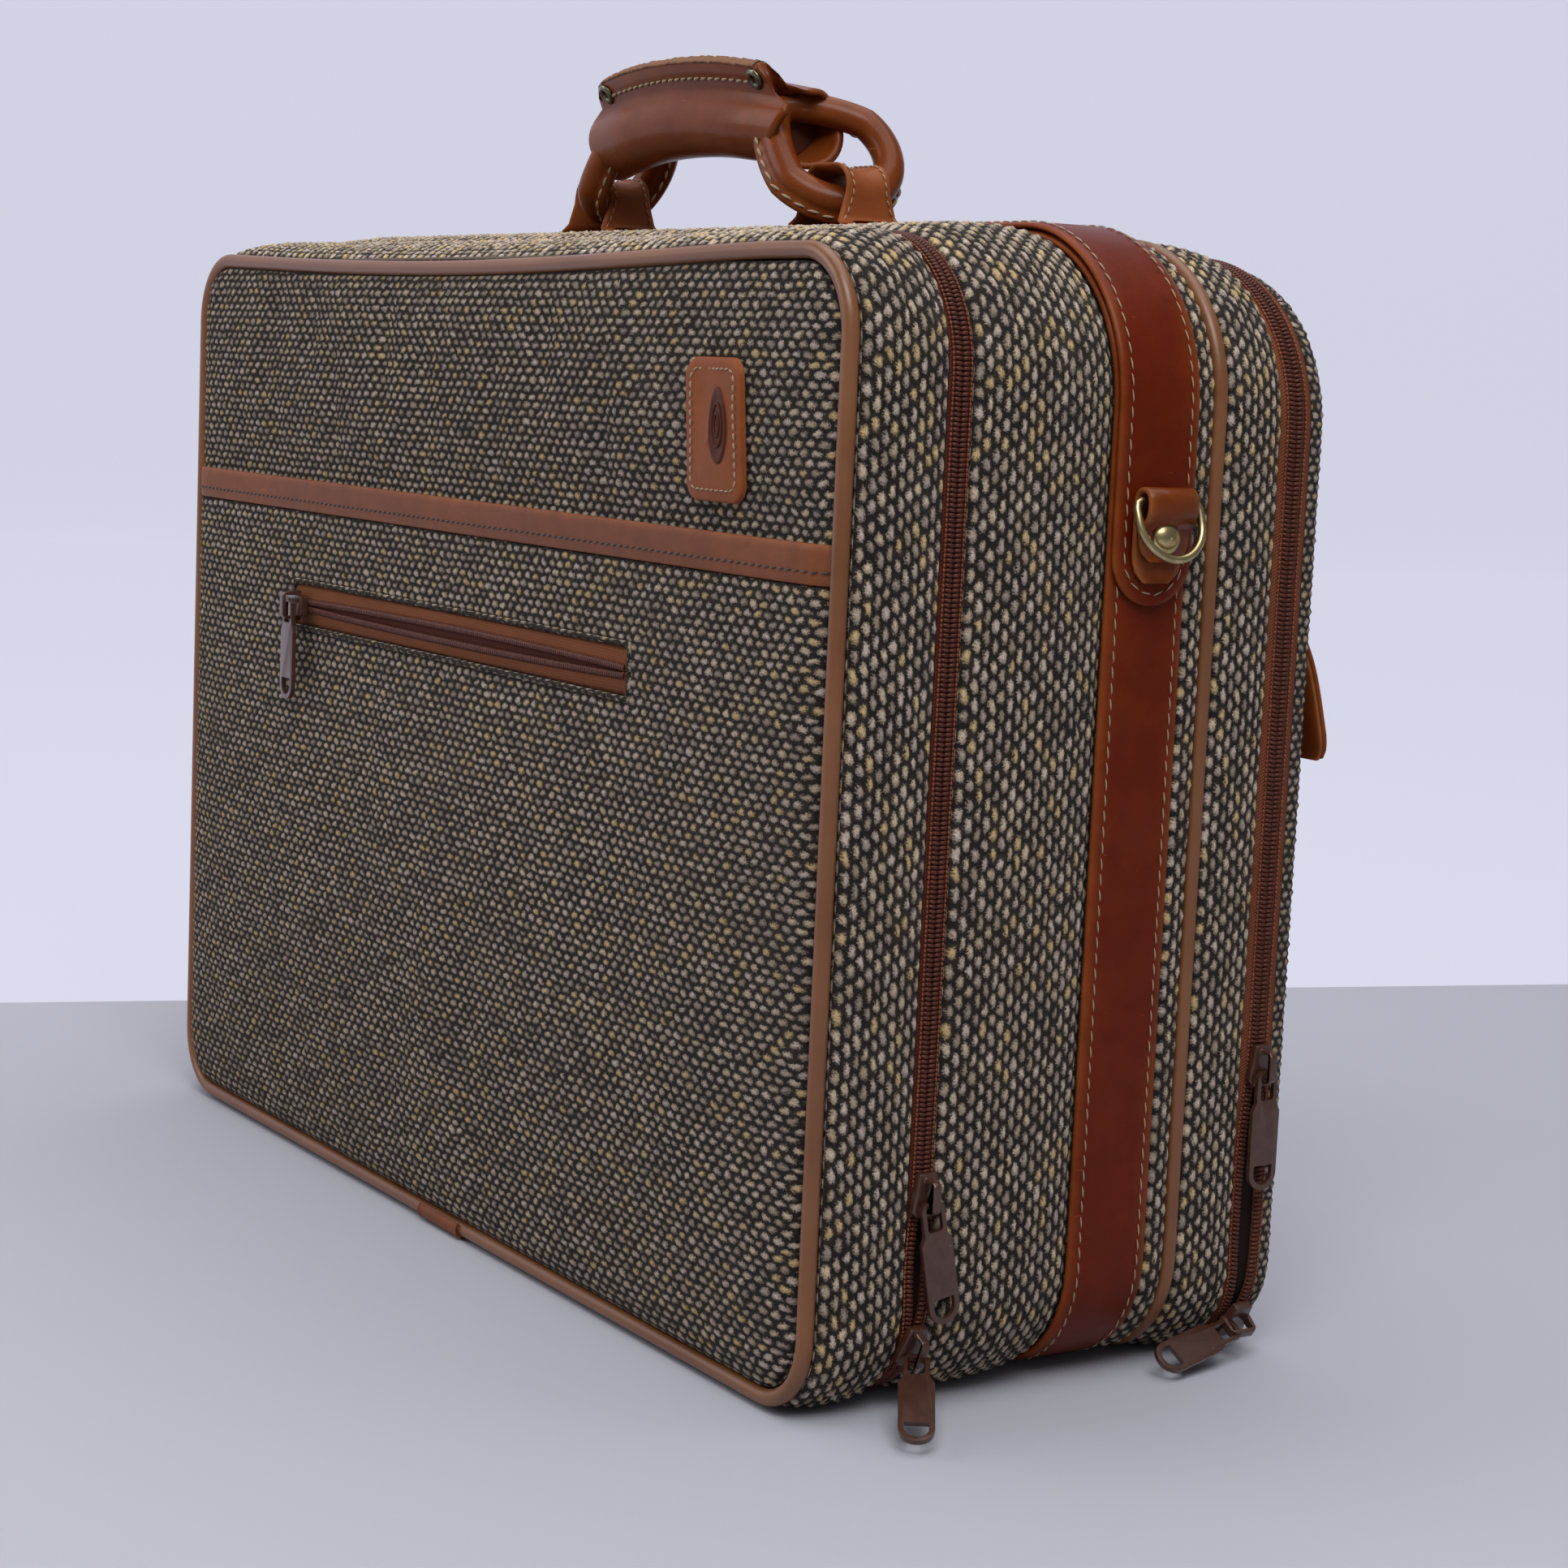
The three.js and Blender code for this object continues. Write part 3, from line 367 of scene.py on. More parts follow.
# Near-black sheet seen through open zips: painted shade of the gap.
GAP_SHADE = tape_material("painted_gap_shade", (0.020, 0.012, 0.010), (0.010, 0.006, 0.005))
POCKET_TAPE = tape_material("pocket_tape", (0.235, 0.078, 0.030), (0.115, 0.036, 0.014))
PAINT = mottled_material(
    "zip_enamel", ((0.058, 0.021, 0.012), (0.082, 0.032, 0.020)), (260.0, 3.0), rough=0.34,
    bump=(0.00005, 0.6), chips=(0.20, 0.17, 0.15), Metallic=0.25, Coat_Weight=0.5, Coat_Roughness=0.2,
)
BRASS = brass_material("antique_brass", (0.62, 0.50, 0.26), (0.28, 0.23, 0.12))
DARK_BRASS = brass_material("tarnished_brass", (0.22, 0.20, 0.13), (0.09, 0.085, 0.06))
LINING = lining_material("woven_lining", (0.17, 0.125, 0.085))
BOARD = mottled_material(
    "stiffener_board", ((0.042, 0.0315, 0.0245), (0.06, 0.045, 0.035)), (240.0, 5.0, 0.7), bump=(0.0002, 0.5)
)
FLOOR = stage_material("pale_floor", (0.45, 0.455, 0.52))
BACKDROP = stage_material(
    "pale_backdrop", (0.08, 0.08, 0.09), Emission_Color=(0.60, 0.605, 0.72), Emission_Strength=1.0
)


# ------------------------------------------------------------------ mesh helpers

def columns(*parts):
    """Points from their separate coordinates, single numbers being repeated."""
    return np.stack(np.broadcast_arrays(*parts), axis=-1)


def new_object(name, mesh):
    piece = bpy.data.objects.new(name, mesh)
    bpy.context.scene.collection.objects.link(piece)
    return piece


def make_object(name, points, faces, material, lay=None):
    mesh = bpy.data.meshes.new(name)
    mesh.from_pydata(points, [], faces)
    mesh.validate()
    if lay is not None:
        set_lay(mesh.attributes.new("lay", "FLOAT_VECTOR", "CORNER"), lay)
    mesh.materials.append(material)
    mesh.shade_smooth()
    return new_object(name, mesh)


def set_lay(attribute, lay):
    attribute.data.foreach_set("vector", np.asarray(lay, np.float32).ravel())


def lengths(points):
    steps = np.linalg.norm(np.diff(points, axis=0), axis=1)
    return np.concatenate([[0.0], np.cumsum(steps)])


def skin(name, points, material, close_rows=False, close_cols=True, caps=False, across=None, yarn=None):
    """Smooth surface over a grid of points. `across` gives each column its place from -1 to 1;
    `yarn` is the spacing of the rows and columns where they follow a weave."""
    points = np.asarray(points, float)
    rows, cols = points.shape[:2]
    wrapped = np.concatenate([points, points[:1]]) if close_rows else points
    if close_cols:
        wrapped = np.concatenate([wrapped, wrapped[:, :1]], axis=1)
    along, round_it = lengths(wrapped[:, 0]), lengths(wrapped[rows // 2])
    if yarn:
        along, round_it = (yarn * np.arange(len(steps)) for steps in (along, round_it))
    third = np.zeros(len(round_it)) if across is None else np.append(across, across[0])
    lay = columns(along[:, None], round_it, third)
    i, j = (n.ravel() for n in np.indices((len(along) - 1, len(round_it) - 1)))
    corners = [(i, j), (i + 1, j), (i + 1, j + 1), (i, j + 1)]
    index = np.stack([(a % rows) * cols + b % cols for a, b in corners], axis=1)
    layout = np.stack([lay[a, b] for a, b in corners], axis=1).reshape(-1, 3)
    faces = index.tolist()
    if caps:
        for row in (0, rows - 1):
            ring = (row * cols + np.arange(cols)).tolist()
            faces.append(ring if row else ring[::-1])
            layout = np.concatenate([layout, np.repeat(lay[row, :1], cols, axis=0)])
    flat = points.reshape(-1, 3)
    if signed_volume(flat, index) < 0:
        faces = [face[::-1] for face in faces]
        starts = np.cumsum([0, *(len(face) for face in faces)])
        layout = np.concatenate([layout[a:b][::-1] for a, b in zip(starts[:-1], starts[1:])])
    return make_object(name, flat.tolist(), faces, material, layout)


def signed_volume(points, quads):
    a, b, c, d = (points[quads[:, k]] for k in range(4))
    triple = np.einsum("ij,ij->i", a, np.cross(b, c)) + np.einsum("ij,ij->i", a, np.cross(c, d))
    return triple.sum()


def arc(x, z, radius, start, end, steps):
    """Points of an arc as x, z and outward normal."""
    angle = np.radians(np.linspace(start, end, steps))
    normal = columns(np.cos(angle), np.sin(angle))
    return np.concatenate([np.array([[x, z]]) + radius * normal, normal], axis=1)


def slack(points):
    """The soft front lid's top edge dips between its corners."""
    x, y, z = np.moveaxis(points, -1, 0)
    zip_y = ZIPS["front"]["y"]
    forward = np.clip((zip_y - y) / (zip_y - FRONT_SEAM_Y), 0, 1)
    upward = np.clip((z - 0.30) / 0.09, 0, 1) ** 2
    sideways = np.clip(1 - ((x + 0.03) / 0.25) ** 2, 0, 1) ** 1.4
    return columns(x, y, z - SAG * forward * upward * sideways)


def line_at(y):
    return [np.interp(y, LINES[:, 0], LINES[:, k]) for k in range(1, 6)]


def outline(y, rise=0.0, start=-90.0, corner=18, side=44, span=60):
    """Points round the case at depth y, as x, z and outward normal, `rise` above the outline."""
    half, bottom, top, low, high = line_at(y) + rise * np.array([1, -1, 1, 1, 1])
    corners = [
        arc(half - low, bottom + low, low, start, 0, corner),
        arc(half - high, top - high, high, 0, 90, corner),
        arc(high - half, top - high, high, 90, 180, corner),
        arc(low - half, bottom + low, low, 180, 180 - start, corner),
    ]
    parts = []
    for k, count in enumerate((side, span, side, span)):
        parts.append(corners[k])
        if k < 3 or start == -90.0:
            parts.append(np.linspace(corners[k][-1], corners[(k + 1) % 4][0], count + 2)[1:-1])
    return np.concatenate(parts)


def on_outline(y, **options):
    x, z, normal_x, normal_z = outline(y, **options).T
    return slack(columns(x, y, z)), columns(normal_x, 0, normal_z)


def directions(points, closed=False):
    if closed:
        tangent = np.roll(points, -1, axis=0) - np.roll(points, 1, axis=0)
    else:
        tangent = np.gradient(points, axis=0)
    return unit(tangent)


def unit(vectors):
    return vectors / np.linalg.norm(vectors, axis=-1, keepdims=True)


def tube(name, points, normals, radius, material, closed=True, sides=16, bump=None):
    """Round bar along points; `bump` adds to the radius by angle from the normal."""
    normals = np.broadcast_to(normals, points.shape)
    side = unit(np.cross(directions(points, closed), normals))
    angle = 2 * np.pi * np.arange(sides) / sides
    reach = radius + (bump(angle) if bump else 0.0) * np.ones(sides)
    rings = (
        points[:, None]
        + (reach * np.cos(angle))[None, :, None] * normals[:, None]
        + (reach * np.sin(angle))[None, :, None] * side[:, None]
    )
    return skin(name, rings, material, close_rows=closed, caps=not closed)


BELT_ACROSS = np.array([-1, -0.97, -0.88, -0.6, -0.25, 0.25, 0.6, 0.88, 0.97, 1, 0.94, 0, -0.94])
BELT_HEIGHT = np.array([0.35, 0.72, 0.9, 0.98, 1.0, 1.0, 0.98, 0.9, 0.72, 0.35, 0, 0, 0])


def belt(name, points, normals, side, half, thick, material, closed=False):
    """Leather strip with softly rounded edges, standing `thick` on the points' side."""
    points, normals, side = (np.broadcast_to(a, np.shape(points)) for a in (points, normals, side))
    half = np.broadcast_to(half, (len(points),))
    rings = (
        points[:, None]
        + side[:, None] * (half[:, None] * BELT_ACROSS)[:, :, None]
        + normals[:, None] * (thick * BELT_HEIGHT)[None, :, None]
    )
    return skin(name, rings, material, closed, caps=not closed, across=BELT_ACROSS)


def strip(name, face, drop, material):
    """Thin sheet: its face, and its back set off by `drop`."""
    return skin(name, np.concatenate([face, (face + drop)[:, ::-1]], axis=1), material, caps=True)


def bean(length, width, height, rows=5, cols=6):
    """Little rounded bar: points and faces, along x, lying on z = 0."""
    t = np.linspace(-1, 1, rows)
    swell = np.sqrt(np.clip(1 - t**2, 0, 1))
    swell[[0, -1]] = 0.25
    t, swell = t[:, None], swell[:, None]
    angle = 2 * np.pi * np.arange(cols) / cols
    points = columns(
        t * length / 2, swell * np.cos(angle) * width / 2, swell * (np.sin(angle) * 0.5 + 0.35) * height
    ).reshape(-1, 3)
    faces = [
        [i * cols + (j + 1) % cols, (i + 1) * cols + (j + 1) % cols, (i + 1) * cols + j, i * cols + j]
        for i in range(rows - 1)
        for j in range(cols)
    ]
    return points, [*faces, list(range(cols))[::-1], list(range((rows - 1) * cols, rows * cols))]


def scatter(name, shape, origins, tangents, normals, material, slant=0.0):
    """Copies of a little shape at each origin, its x along the tangent and z along the normal."""
    points, faces = shape
    normals, tangents = (np.broadcast_to(a, origins.shape) for a in (normals, tangents))
    turned_to = np.cos(slant) * tangents + np.sin(slant) * np.cross(normals, tangents)
    axes = (turned_to, np.cross(normals, turned_to), normals)
    world = origins[:, None] + sum(points[None, :, k:k + 1] * axis[:, None] for k, axis in enumerate(axes))
    base = np.arange(len(origins)) * len(points)
    everywhere = [[b + k for k in face] for b in base for face in faces]
    return make_object(name, world.reshape(-1, 3).tolist(), everywhere, material)


def sample(where, total, values):
    return np.stack([np.interp(where, total, column) for column in values.T], axis=1)


def resample(points, normals, pitch, closed=False):
    """Evenly spaced points, tangents and normals along a path."""
    if closed:
        points, normals = (np.concatenate([a, a[:1]]) for a in (points, normals))
    total = lengths(points)
    count = max(2, int(round(total[-1] / pitch)))
    where = (np.arange(count) + 0.5) * total[-1] / count
    place, normal = (sample(where, total, a) for a in (points, normals))
    tangent = unit(sample(where + 1e-4, total, points) - sample(where - 1e-4, total, points))
    normal -= np.einsum("ij,ij->i", normal, tangent)[:, None] * tangent
    return place, tangent, unit(normal)


def settle(piece, body, slot, *replaced):
    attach(piece, body)
    if replaced:
        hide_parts(*replaced)
    return piece


def stitch(
    name, points, normals, body, slot="leather", pitch=0.0055, width=0.0006, material=THREAD, closed=False
):
    """Row of saddle stitches on a surface."""
    place, tangent, normal = resample(points, np.broadcast_to(normals, points.shape), pitch, closed)
    shape = bean(pitch * 0.78, width, width * 1.1)
    settle(scatter(name, shape, place, tangent, normal, material, slant=0.12), body, slot)


def seam_pair(name, ends, points, normals, offset, body, **style):
    """Two rows of stitches, one on either side of a line."""
    for end, side in zip(ends, (-1, 1)):
        stitch(f"{name}_{end}", points + side * offset, normals, body, **style)


def refine(node, body, bevel):
    """Stands for a CAD node of the zip hardware with the same shape, its hard edges rounded."""
    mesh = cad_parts[node].data.copy()
    mesh.materials.clear()
    mesh.materials.append(PAINT)
    piece = new_object(node + "_fine", mesh)
    for kind, settings in (
        ("WELD", {"merge_threshold": 1e-6}),
        ("DECIMATE", {"decimate_type": "DISSOLVE", "angle_limit": math.radians(2)}),
        ("BEVEL", {"width": bevel, "segments": 3, "limit_method": "ANGLE", "angle_limit": math.radians(28)}),
    ):
        modifier = piece.modifiers.new(kind.lower(), kind)
        for key, value in settings.items():
            setattr(modifier, key, value)
    bpy.context.view_layer.update()
    evaluated = piece.evaluated_get(bpy.context.evaluated_depsgraph_get())
    piece_mesh = bpy.data.meshes.new_from_object(evaluated)
    piece.modifiers.clear()
    piece.data = piece_mesh
    piece_mesh.shade_smooth()
    piece_mesh.set_sharp_from_angle(angle=math.radians(50))
    return settle(piece, body, "zip_metal", node)


def lathe(profile, centre, axis, sides=40):
    """Rings of a turned piece: profile of (radius, height) along the axis."""
    axis = np.asarray(axis, float)
    u = unit(np.cross(axis, Z))
    angle = 2 * np.pi * np.arange(sides) / sides
    radial = np.cos(angle)[:, None] * u + np.sin(angle)[:, None] * np.cross(axis, u)
    profile = np.asarray(profile, float)
    return np.asarray(centre) + profile[:, :1, None] * radial + profile[:, 1:, None] * axis


# ------------------------------------------------------------------ tweed gussets

def relief(i, j):
    """Height of plain weave at half-cell steps: highest on the pale floats, which run along i."""
    i, j = np.broadcast_arrays(i, j)
    middle = (i % 2 == 1) & (j % 2 == 1)
    light = (i // 2 + j // 2) % 2 == 0
    height = np.where(middle, np.where(light, 1.0, 0.12), 0.0)
    height = np.where((i % 2 == 0) & (j % 2 == 1), 0.62, height)
    return height * rng.uniform(0.65, 1.35, i.shape)


def even_loop(y, count):
    """Evenly spaced points and outward normals round the case."""
    points, normals = (np.concatenate([a, a[:1]]) for a in on_outline(y))
    total = lengths(points)
    where = np.arange(count) * total[-1] / count
    return sample(where, total, points), unit(sample(where, total, normals))


def gusset(name, ends, rise, body, node):
    """Woven belt round the case; `rise` gives how far it stands proud at each depth."""
    start, end = ends
    step = GUSSET_CELL / 2
    loop = lengths(on_outline((start + end) / 2)[0])[-1]
    count = 4 * round(loop / (4 * step))
    column = np.arange(round((end - start) / step) + 1)
    heights = relief(np.arange(count)[:, None], column) * RELIEF
    grid = []
    for j, y in enumerate(np.linspace(start, end, len(column))):
        place, facing = even_loop(y, count)
        hem = min(1.0, (y - start) / 0.0012, (end - y) / 0.0012)
        out = rise(y) * math.sqrt(max(0.0, 1 - (1 - hem) ** 2)) + heights[:, j] * hem
        grid.append(place + facing * out[:, None])
    for y in (end, start):
        place, facing = even_loop(y, count)
        grid.append(place - facing * CLOTH)
    grid = np.stack(grid, axis=1)
    # Pressed flat where the case stands on it.
    grid[..., 2] -= 0.85 * np.minimum(grid[..., 2] - 0.0006, 0.0)
    settle(skin(name, grid, TWEED, close_rows=True, yarn=step), body, "tweed", node)


def bulge(start, end, flat, high):
    """A smooth rise between two seams, `flat` at its edges."""
    return lambda y: flat + high * (1 - np.abs(2 * (y - start) / (end - start) - 1) ** 2.6)


def body_rise(y):
    """The cloth puffs up between the zip, the strap and the rear seam, and is flat under the strap."""
    edge = STRAP_HALF + 0.0006
    if abs(y) <= edge:
        return -RELIEF
    if y < 0:
        return bulge(BODY_GUSSET[0], -edge, 0.0010, 0.0034)(y)
    return bulge(edge, BODY_GUSSET[1], 0.0010, 0.0012)(y)


gusset("body_gusset_cloth", BODY_GUSSET, body_rise, "case", "body_gusset")
gusset("front_gusset_cloth", FRONT_GUSSET, bulge(*FRONT_GUSSET, 0.0008, 0.0026), "front_lid", "front_gusset")
gusset("rear_gusset_cloth", REAR_GUSSET, bulge(*REAR_GUSSET, 0.0008, 0.0018), "case", "rear_gusset")


# ------------------------------------------------------------------ relaxed sheets

CLOTH_SETTINGS = {
    "quality": 6, "mass": 0.4, "tension_stiffness": 25, "compression_stiffness": 25, "shear_stiffness": 8,
    "bending_stiffness": 2, "vertex_group_mass": "held", "shrink_min": -0.006, "use_pressure": True,
    "uniform_pressure_force": 4.0,
}
SHEET_COLUMNS, SHEET_ROWS, CLOTH_FRAMES = 44, 32, 20


def relax(width, height, held):
    """Cloth simulation of a sheet held where `held` says: how far it bows out."""
    u, v = np.meshgrid(np.linspace(-1, 1, SHEET_COLUMNS), np.linspace(0, 1, SHEET_ROWS))
    points = columns(u.ravel() * width / 2, 0.0, v.ravel() * height)
    index = np.arange(u.size).reshape(u.shape)
    faces = columns(index[:-1, :-1], index[:-1, 1:], index[1:, 1:], index[1:, :-1]).reshape(-1, 4)
    mesh = bpy.data.meshes.new("sheet")
    mesh.from_pydata(points.tolist(), [], faces.tolist())
    sheet = new_object("sheet", mesh)
    group = sheet.vertex_groups.new(name="held")
    group.add(np.flatnonzero(held(u, v).ravel()).tolist(), 1.0, "REPLACE")
    cloth = sheet.modifiers.new("cloth", "CLOTH")
    for key, value in CLOTH_SETTINGS.items():
        setattr(cloth.settings, key, value)
    cloth.settings.effector_weights.gravity = 0
    cloth.collision_settings.use_collision = False
    cloth.point_cache.frame_end = CLOTH_FRAMES
    scene = bpy.context.scene
    for frame_number in range(1, CLOTH_FRAMES + 1):
        scene.frame_set(frame_number)
    evaluated = sheet.evaluated_get(bpy.context.evaluated_depsgraph_get())
    moved = np.empty(len(points) * 3)
    evaluated.data.vertices.foreach_get("co", moved)
    scene.frame_set(1)
    bpy.data.objects.remove(sheet)
    bpy.data.meshes.remove(mesh)
    return np.abs(moved.reshape(-1, 3)[:, 1].reshape(u.shape))


def bowed(size, held, low, high, most):
    bow = relax(*size, held)
    bow = bow * min(1.0, most / max(bow.max(), 1e-6))

    def at(x, z):
        c = np.clip((x / size[0] + 0.5) * (SHEET_COLUMNS - 1), 0, SHEET_COLUMNS - 1.001)
        r = np.clip((z - low) / (high - low) * (SHEET_ROWS - 1), 0, SHEET_ROWS - 1.001)
        i, j = r.astype(int), c.astype(int)
        a, b = r - i, c - j
        return (
            bow[i, j] * (1 - a) * (1 - b) + bow[i + 1, j] * a * (1 - b)
            + bow[i, j + 1] * (1 - a) * b + bow[i + 1, j + 1] * a * b
        )

    return at


def border(u, v):
    return (np.abs(u) > 0.999) | (v < 0.001) | (v > 0.999)


def above_pocket(u, v):
    """Only the part of the front panel above the pocket is free to bow."""
    return border(u, v) | (v < 0.775)


def pocket_held(u, v):
    """The pocket is sewn round three sides and stiffened along its zip and its trim."""
    return border(u, v) | (np.abs(u) < 0.56) & (np.abs(v - 0.855) < 0.02)


FRONT_BOW = bowed((0.537, 0.380), above_pocket, PANEL_LOW, PANEL_HIGH, 0.0036)
POCKET_BOW = bowed((0.536, 0.274), pocket_held, POCKET_LOW, POCKET_TOP, 0.0042)
REAR_BOW = bowed((0.543, 0.396), border, 0.001, 0.397, 0.0045)


# ------------------------------------------------------------------ tweed panels

def inside(x, z, half, bottom, top, low, high):
    """Distance in from the edge of a rounded outline."""
    radius = np.where(z < (bottom + top) / 2, low, high)
    dx = np.abs(x) - half + radius
    dz = np.abs(z - (bottom + top) / 2) - (top - bottom) / 2 + radius
    corner = np.hypot(np.clip(dx, 0, None), np.clip(dz, 0, None))
    return radius - corner - np.clip(np.maximum(dx, dz), None, 0)


def ripples(x, z, bow):
    """Slight unevenness of a sheet, dying away where it is held."""
    wave = 0.0006 * np.sin(31 * x + 1.2) * np.sin(13 * z) + 0.0004 * np.sin(57 * x + 20 * z)
    return wave * np.clip(bow / 0.002, 0, 1)


def front_face(x, z):
    """Front panel above the pocket; behind the pocket it lies back out of the way."""
    bow = FRONT_BOW(x, z)
    sewn = 0.0012 * np.exp(-inside(x, z, PANEL_HALF, PANEL_LOW, PANEL_HIGH, *PANEL_CORNERS) / 0.003)
    covered = 0.0009 * np.clip((POCKET_TOP + 0.008 - z) / 0.003, 0, 1)
    face = PANEL_FRONT + 0.0010 - bow - ripples(x, z, bow) + sewn + covered
    return np.minimum(face, PANEL_BACK - 0.0002)


def pocket_face(x, z):
    """Slip pocket, drawn back to the piping where it is sewn in at the sides and the bottom."""
    bow = POCKET_BOW(x, z)
    sewn = 0.0036 * np.exp(-inside(x, z, POCKET_HALF, POCKET_LOW, 0.60, 0.024, 0.024) / 0.005)
    return POCKET_FRONT + 0.0008 - bow - ripples(x, z, bow) + sewn


def zip_slot(x, z):
    """1 in the opening that the pocket's zip is let into, 0 outside it."""
    reach, middle = (POCKET_ZIP_RIGHT - POCKET_ZIP_LEFT) / 2, (POCKET_ZIP_LEFT + POCKET_ZIP_RIGHT) / 2
    tall = np.clip((0.0098 - np.abs(z - POCKET_ZIP_Z)) / 0.0010, 0, 1)
    wide = np.clip((reach + 0.0014 - np.abs(x - middle)) / 0.0010, 0, 1)
    return tall * wide


def rear_face(x, z):
    """Soft dished back: steep at its rim, then rounded over, then nearly flat."""
    steps = (0, 0.0008, 0.0022, 0.0045, 0.0085, 0.014, 0.022)
    rises = (0, 0.0036, 0.0064, 0.0084, 0.0099, 0.0107, DISH)
    rise = np.interp(inside(x, z, *line_at(REAR_EDGE)), steps, rises)
    bow = 0.4 * REAR_BOW(x, z)
    return REAR_EDGE + rise + bow + ripples(x, z, bow)


def clipped_grid(low, high, half, corners, step):
    """Half-cell grid drawn in to a rounded outline: x, z, and the row and column of each place."""
    rows = np.arange(math.ceil(low / step + 0.4), math.floor(high / step - 0.4) + 1)
    z = np.array([low, *(step * rows), high])
    radii = np.array(corners)[:, None]
    into = np.clip(radii - [z - low, high - z], 0, radii)
    reach = half - (radii - np.sqrt(radii**2 - into**2)).max(axis=0)
    i = np.arange(-math.ceil(half / step), math.ceil(half / step) + 1)
    x = np.clip(i * step, -reach[:, None], reach[:, None])
    z = np.repeat(z[:, None], len(i), axis=1)
    return x, z, np.broadcast_to(i, x.shape), np.rint(z / step).astype(int)


def panel(name, low, high, half, corners, face, back, outward, woven, body, node, crest=None):
    """Padded woven panel across the case: a half-cell grid clipped to its outline, with a flat back.
    `woven` gives how much of the weave's relief shows at a place; a steep rim falling away
    from `crest` carries the weave on down its side."""
    step = PANEL_CELL / 2
    x, z, i, j = clipped_grid(low, high, half, corners, step)
    on_grid = (np.abs(x - i * step) < 1e-9) & (np.abs(z - j * step) < 1e-9)
    height = np.where(on_grid, relief(i, j), 0) * woven(x, z) * RELIEF * 0.8
    points = columns(x, face(x, z) + outward * height, z).reshape(-1, 3)
    keys = np.round(points[:, [0, 2]] * 1e6).astype(np.int64)
    _, first, same = np.unique(keys, axis=0, return_index=True, return_inverse=True)
    same = same.reshape(x.shape)
    quads = columns(same[:-1, :-1], same[:-1, 1:], same[1:, 1:], same[1:, :-1]).reshape(-1, 4)
    faces = [list(dict.fromkeys(quad)) for quad in quads.tolist()]
    faces = [corners_ for corners_ in faces if len(corners_) > 2]
    edges = dict.fromkeys(pair for face_ in faces for pair in zip(face_, face_[1:] + face_[:1]))
    follow = {a: b for a, b in edges if (b, a) not in edges}
    rim = [next(iter(follow))]
    while follow[rim[-1]] != rim[0]:
        rim.append(follow[rim[-1]])
    front = points[first]
    behind = columns(front[rim, 0], back, front[rim, 2])
    base, count = len(front), len(rim)
    points = slack(np.concatenate([front, behind, [[0, back, (low + high) / 2]]]))
    for k in range(count):
        n = (k + 1) % count
        faces += [[rim[n], rim[k], base + k, base + n], [base + n, base + k, base + count]]
    if outward > 0:
        faces = [face_[::-1] for face_ in faces]
    x, y, z = np.concatenate([points[face_] for face_ in faces]).T
    place = columns(x, z)
    if crest:
        centre, size = np.array([0, (low + high) / 2]), np.array([half, (high - low) / 2])
        near = np.clip((np.abs(place - centre) - size + 0.016) / 0.008, 0, 1)
        place += np.sign(place - centre) * near * np.clip(outward * (crest - y), 0, None)[:, None]
    piece = make_object(name, points.tolist(), faces, PANEL_TWEED, columns(*place.T, 0.0))
    settle(piece, body, "tweed", node)


panel(
    "front_panel_cloth", PANEL_LOW, PANEL_HIGH, PANEL_HALF, PANEL_CORNERS, front_face, PANEL_BACK, -1,
    lambda x, z: z > POCKET_TOP + 0.013, "front_lid", "front_panel",
)
panel(
    "slip_pocket_cloth", POCKET_LOW, POCKET_TOP, POCKET_HALF, (0.024, 0.0005),
    lambda x, z: pocket_face(x, z) + 0.0014 * zip_slot(x, z), PANEL_BACK - 0.0003, -1,
    lambda x, z: 1 - zip_slot(x, z), "front_lid", "slip_pocket",
)
rear_half, rear_low, rear_high, *rear_corners = line_at(REAR_EDGE)
panel(
    "rear_panel_cloth", rear_low, rear_high, rear_half, rear_corners, rear_face, REAR_EDGE - 0.0002, 1,
    lambda x, z: 1, "rear_lid", "rear_panel", crest=REAR_EDGE + DISH,
)

# ------------------------------------------------------------------ piping and strap

for name, y, body, node in (
    ("front_piping_cord", FRONT_SEAM_Y, "front_lid", "front_piping"),
    ("rear_piping_cord", REAR_SEAM_Y, "case", "rear_piping"),
):
    settle(tube(name, *on_outline(y), PIPING, VINYL, sides=20), body, "piping_vinyl", node)


def both_ends(end, middle):
    """A path that runs up the right side, over the top and down the left."""
    return np.concatenate([end, middle, end[::-1] * MIRROR])


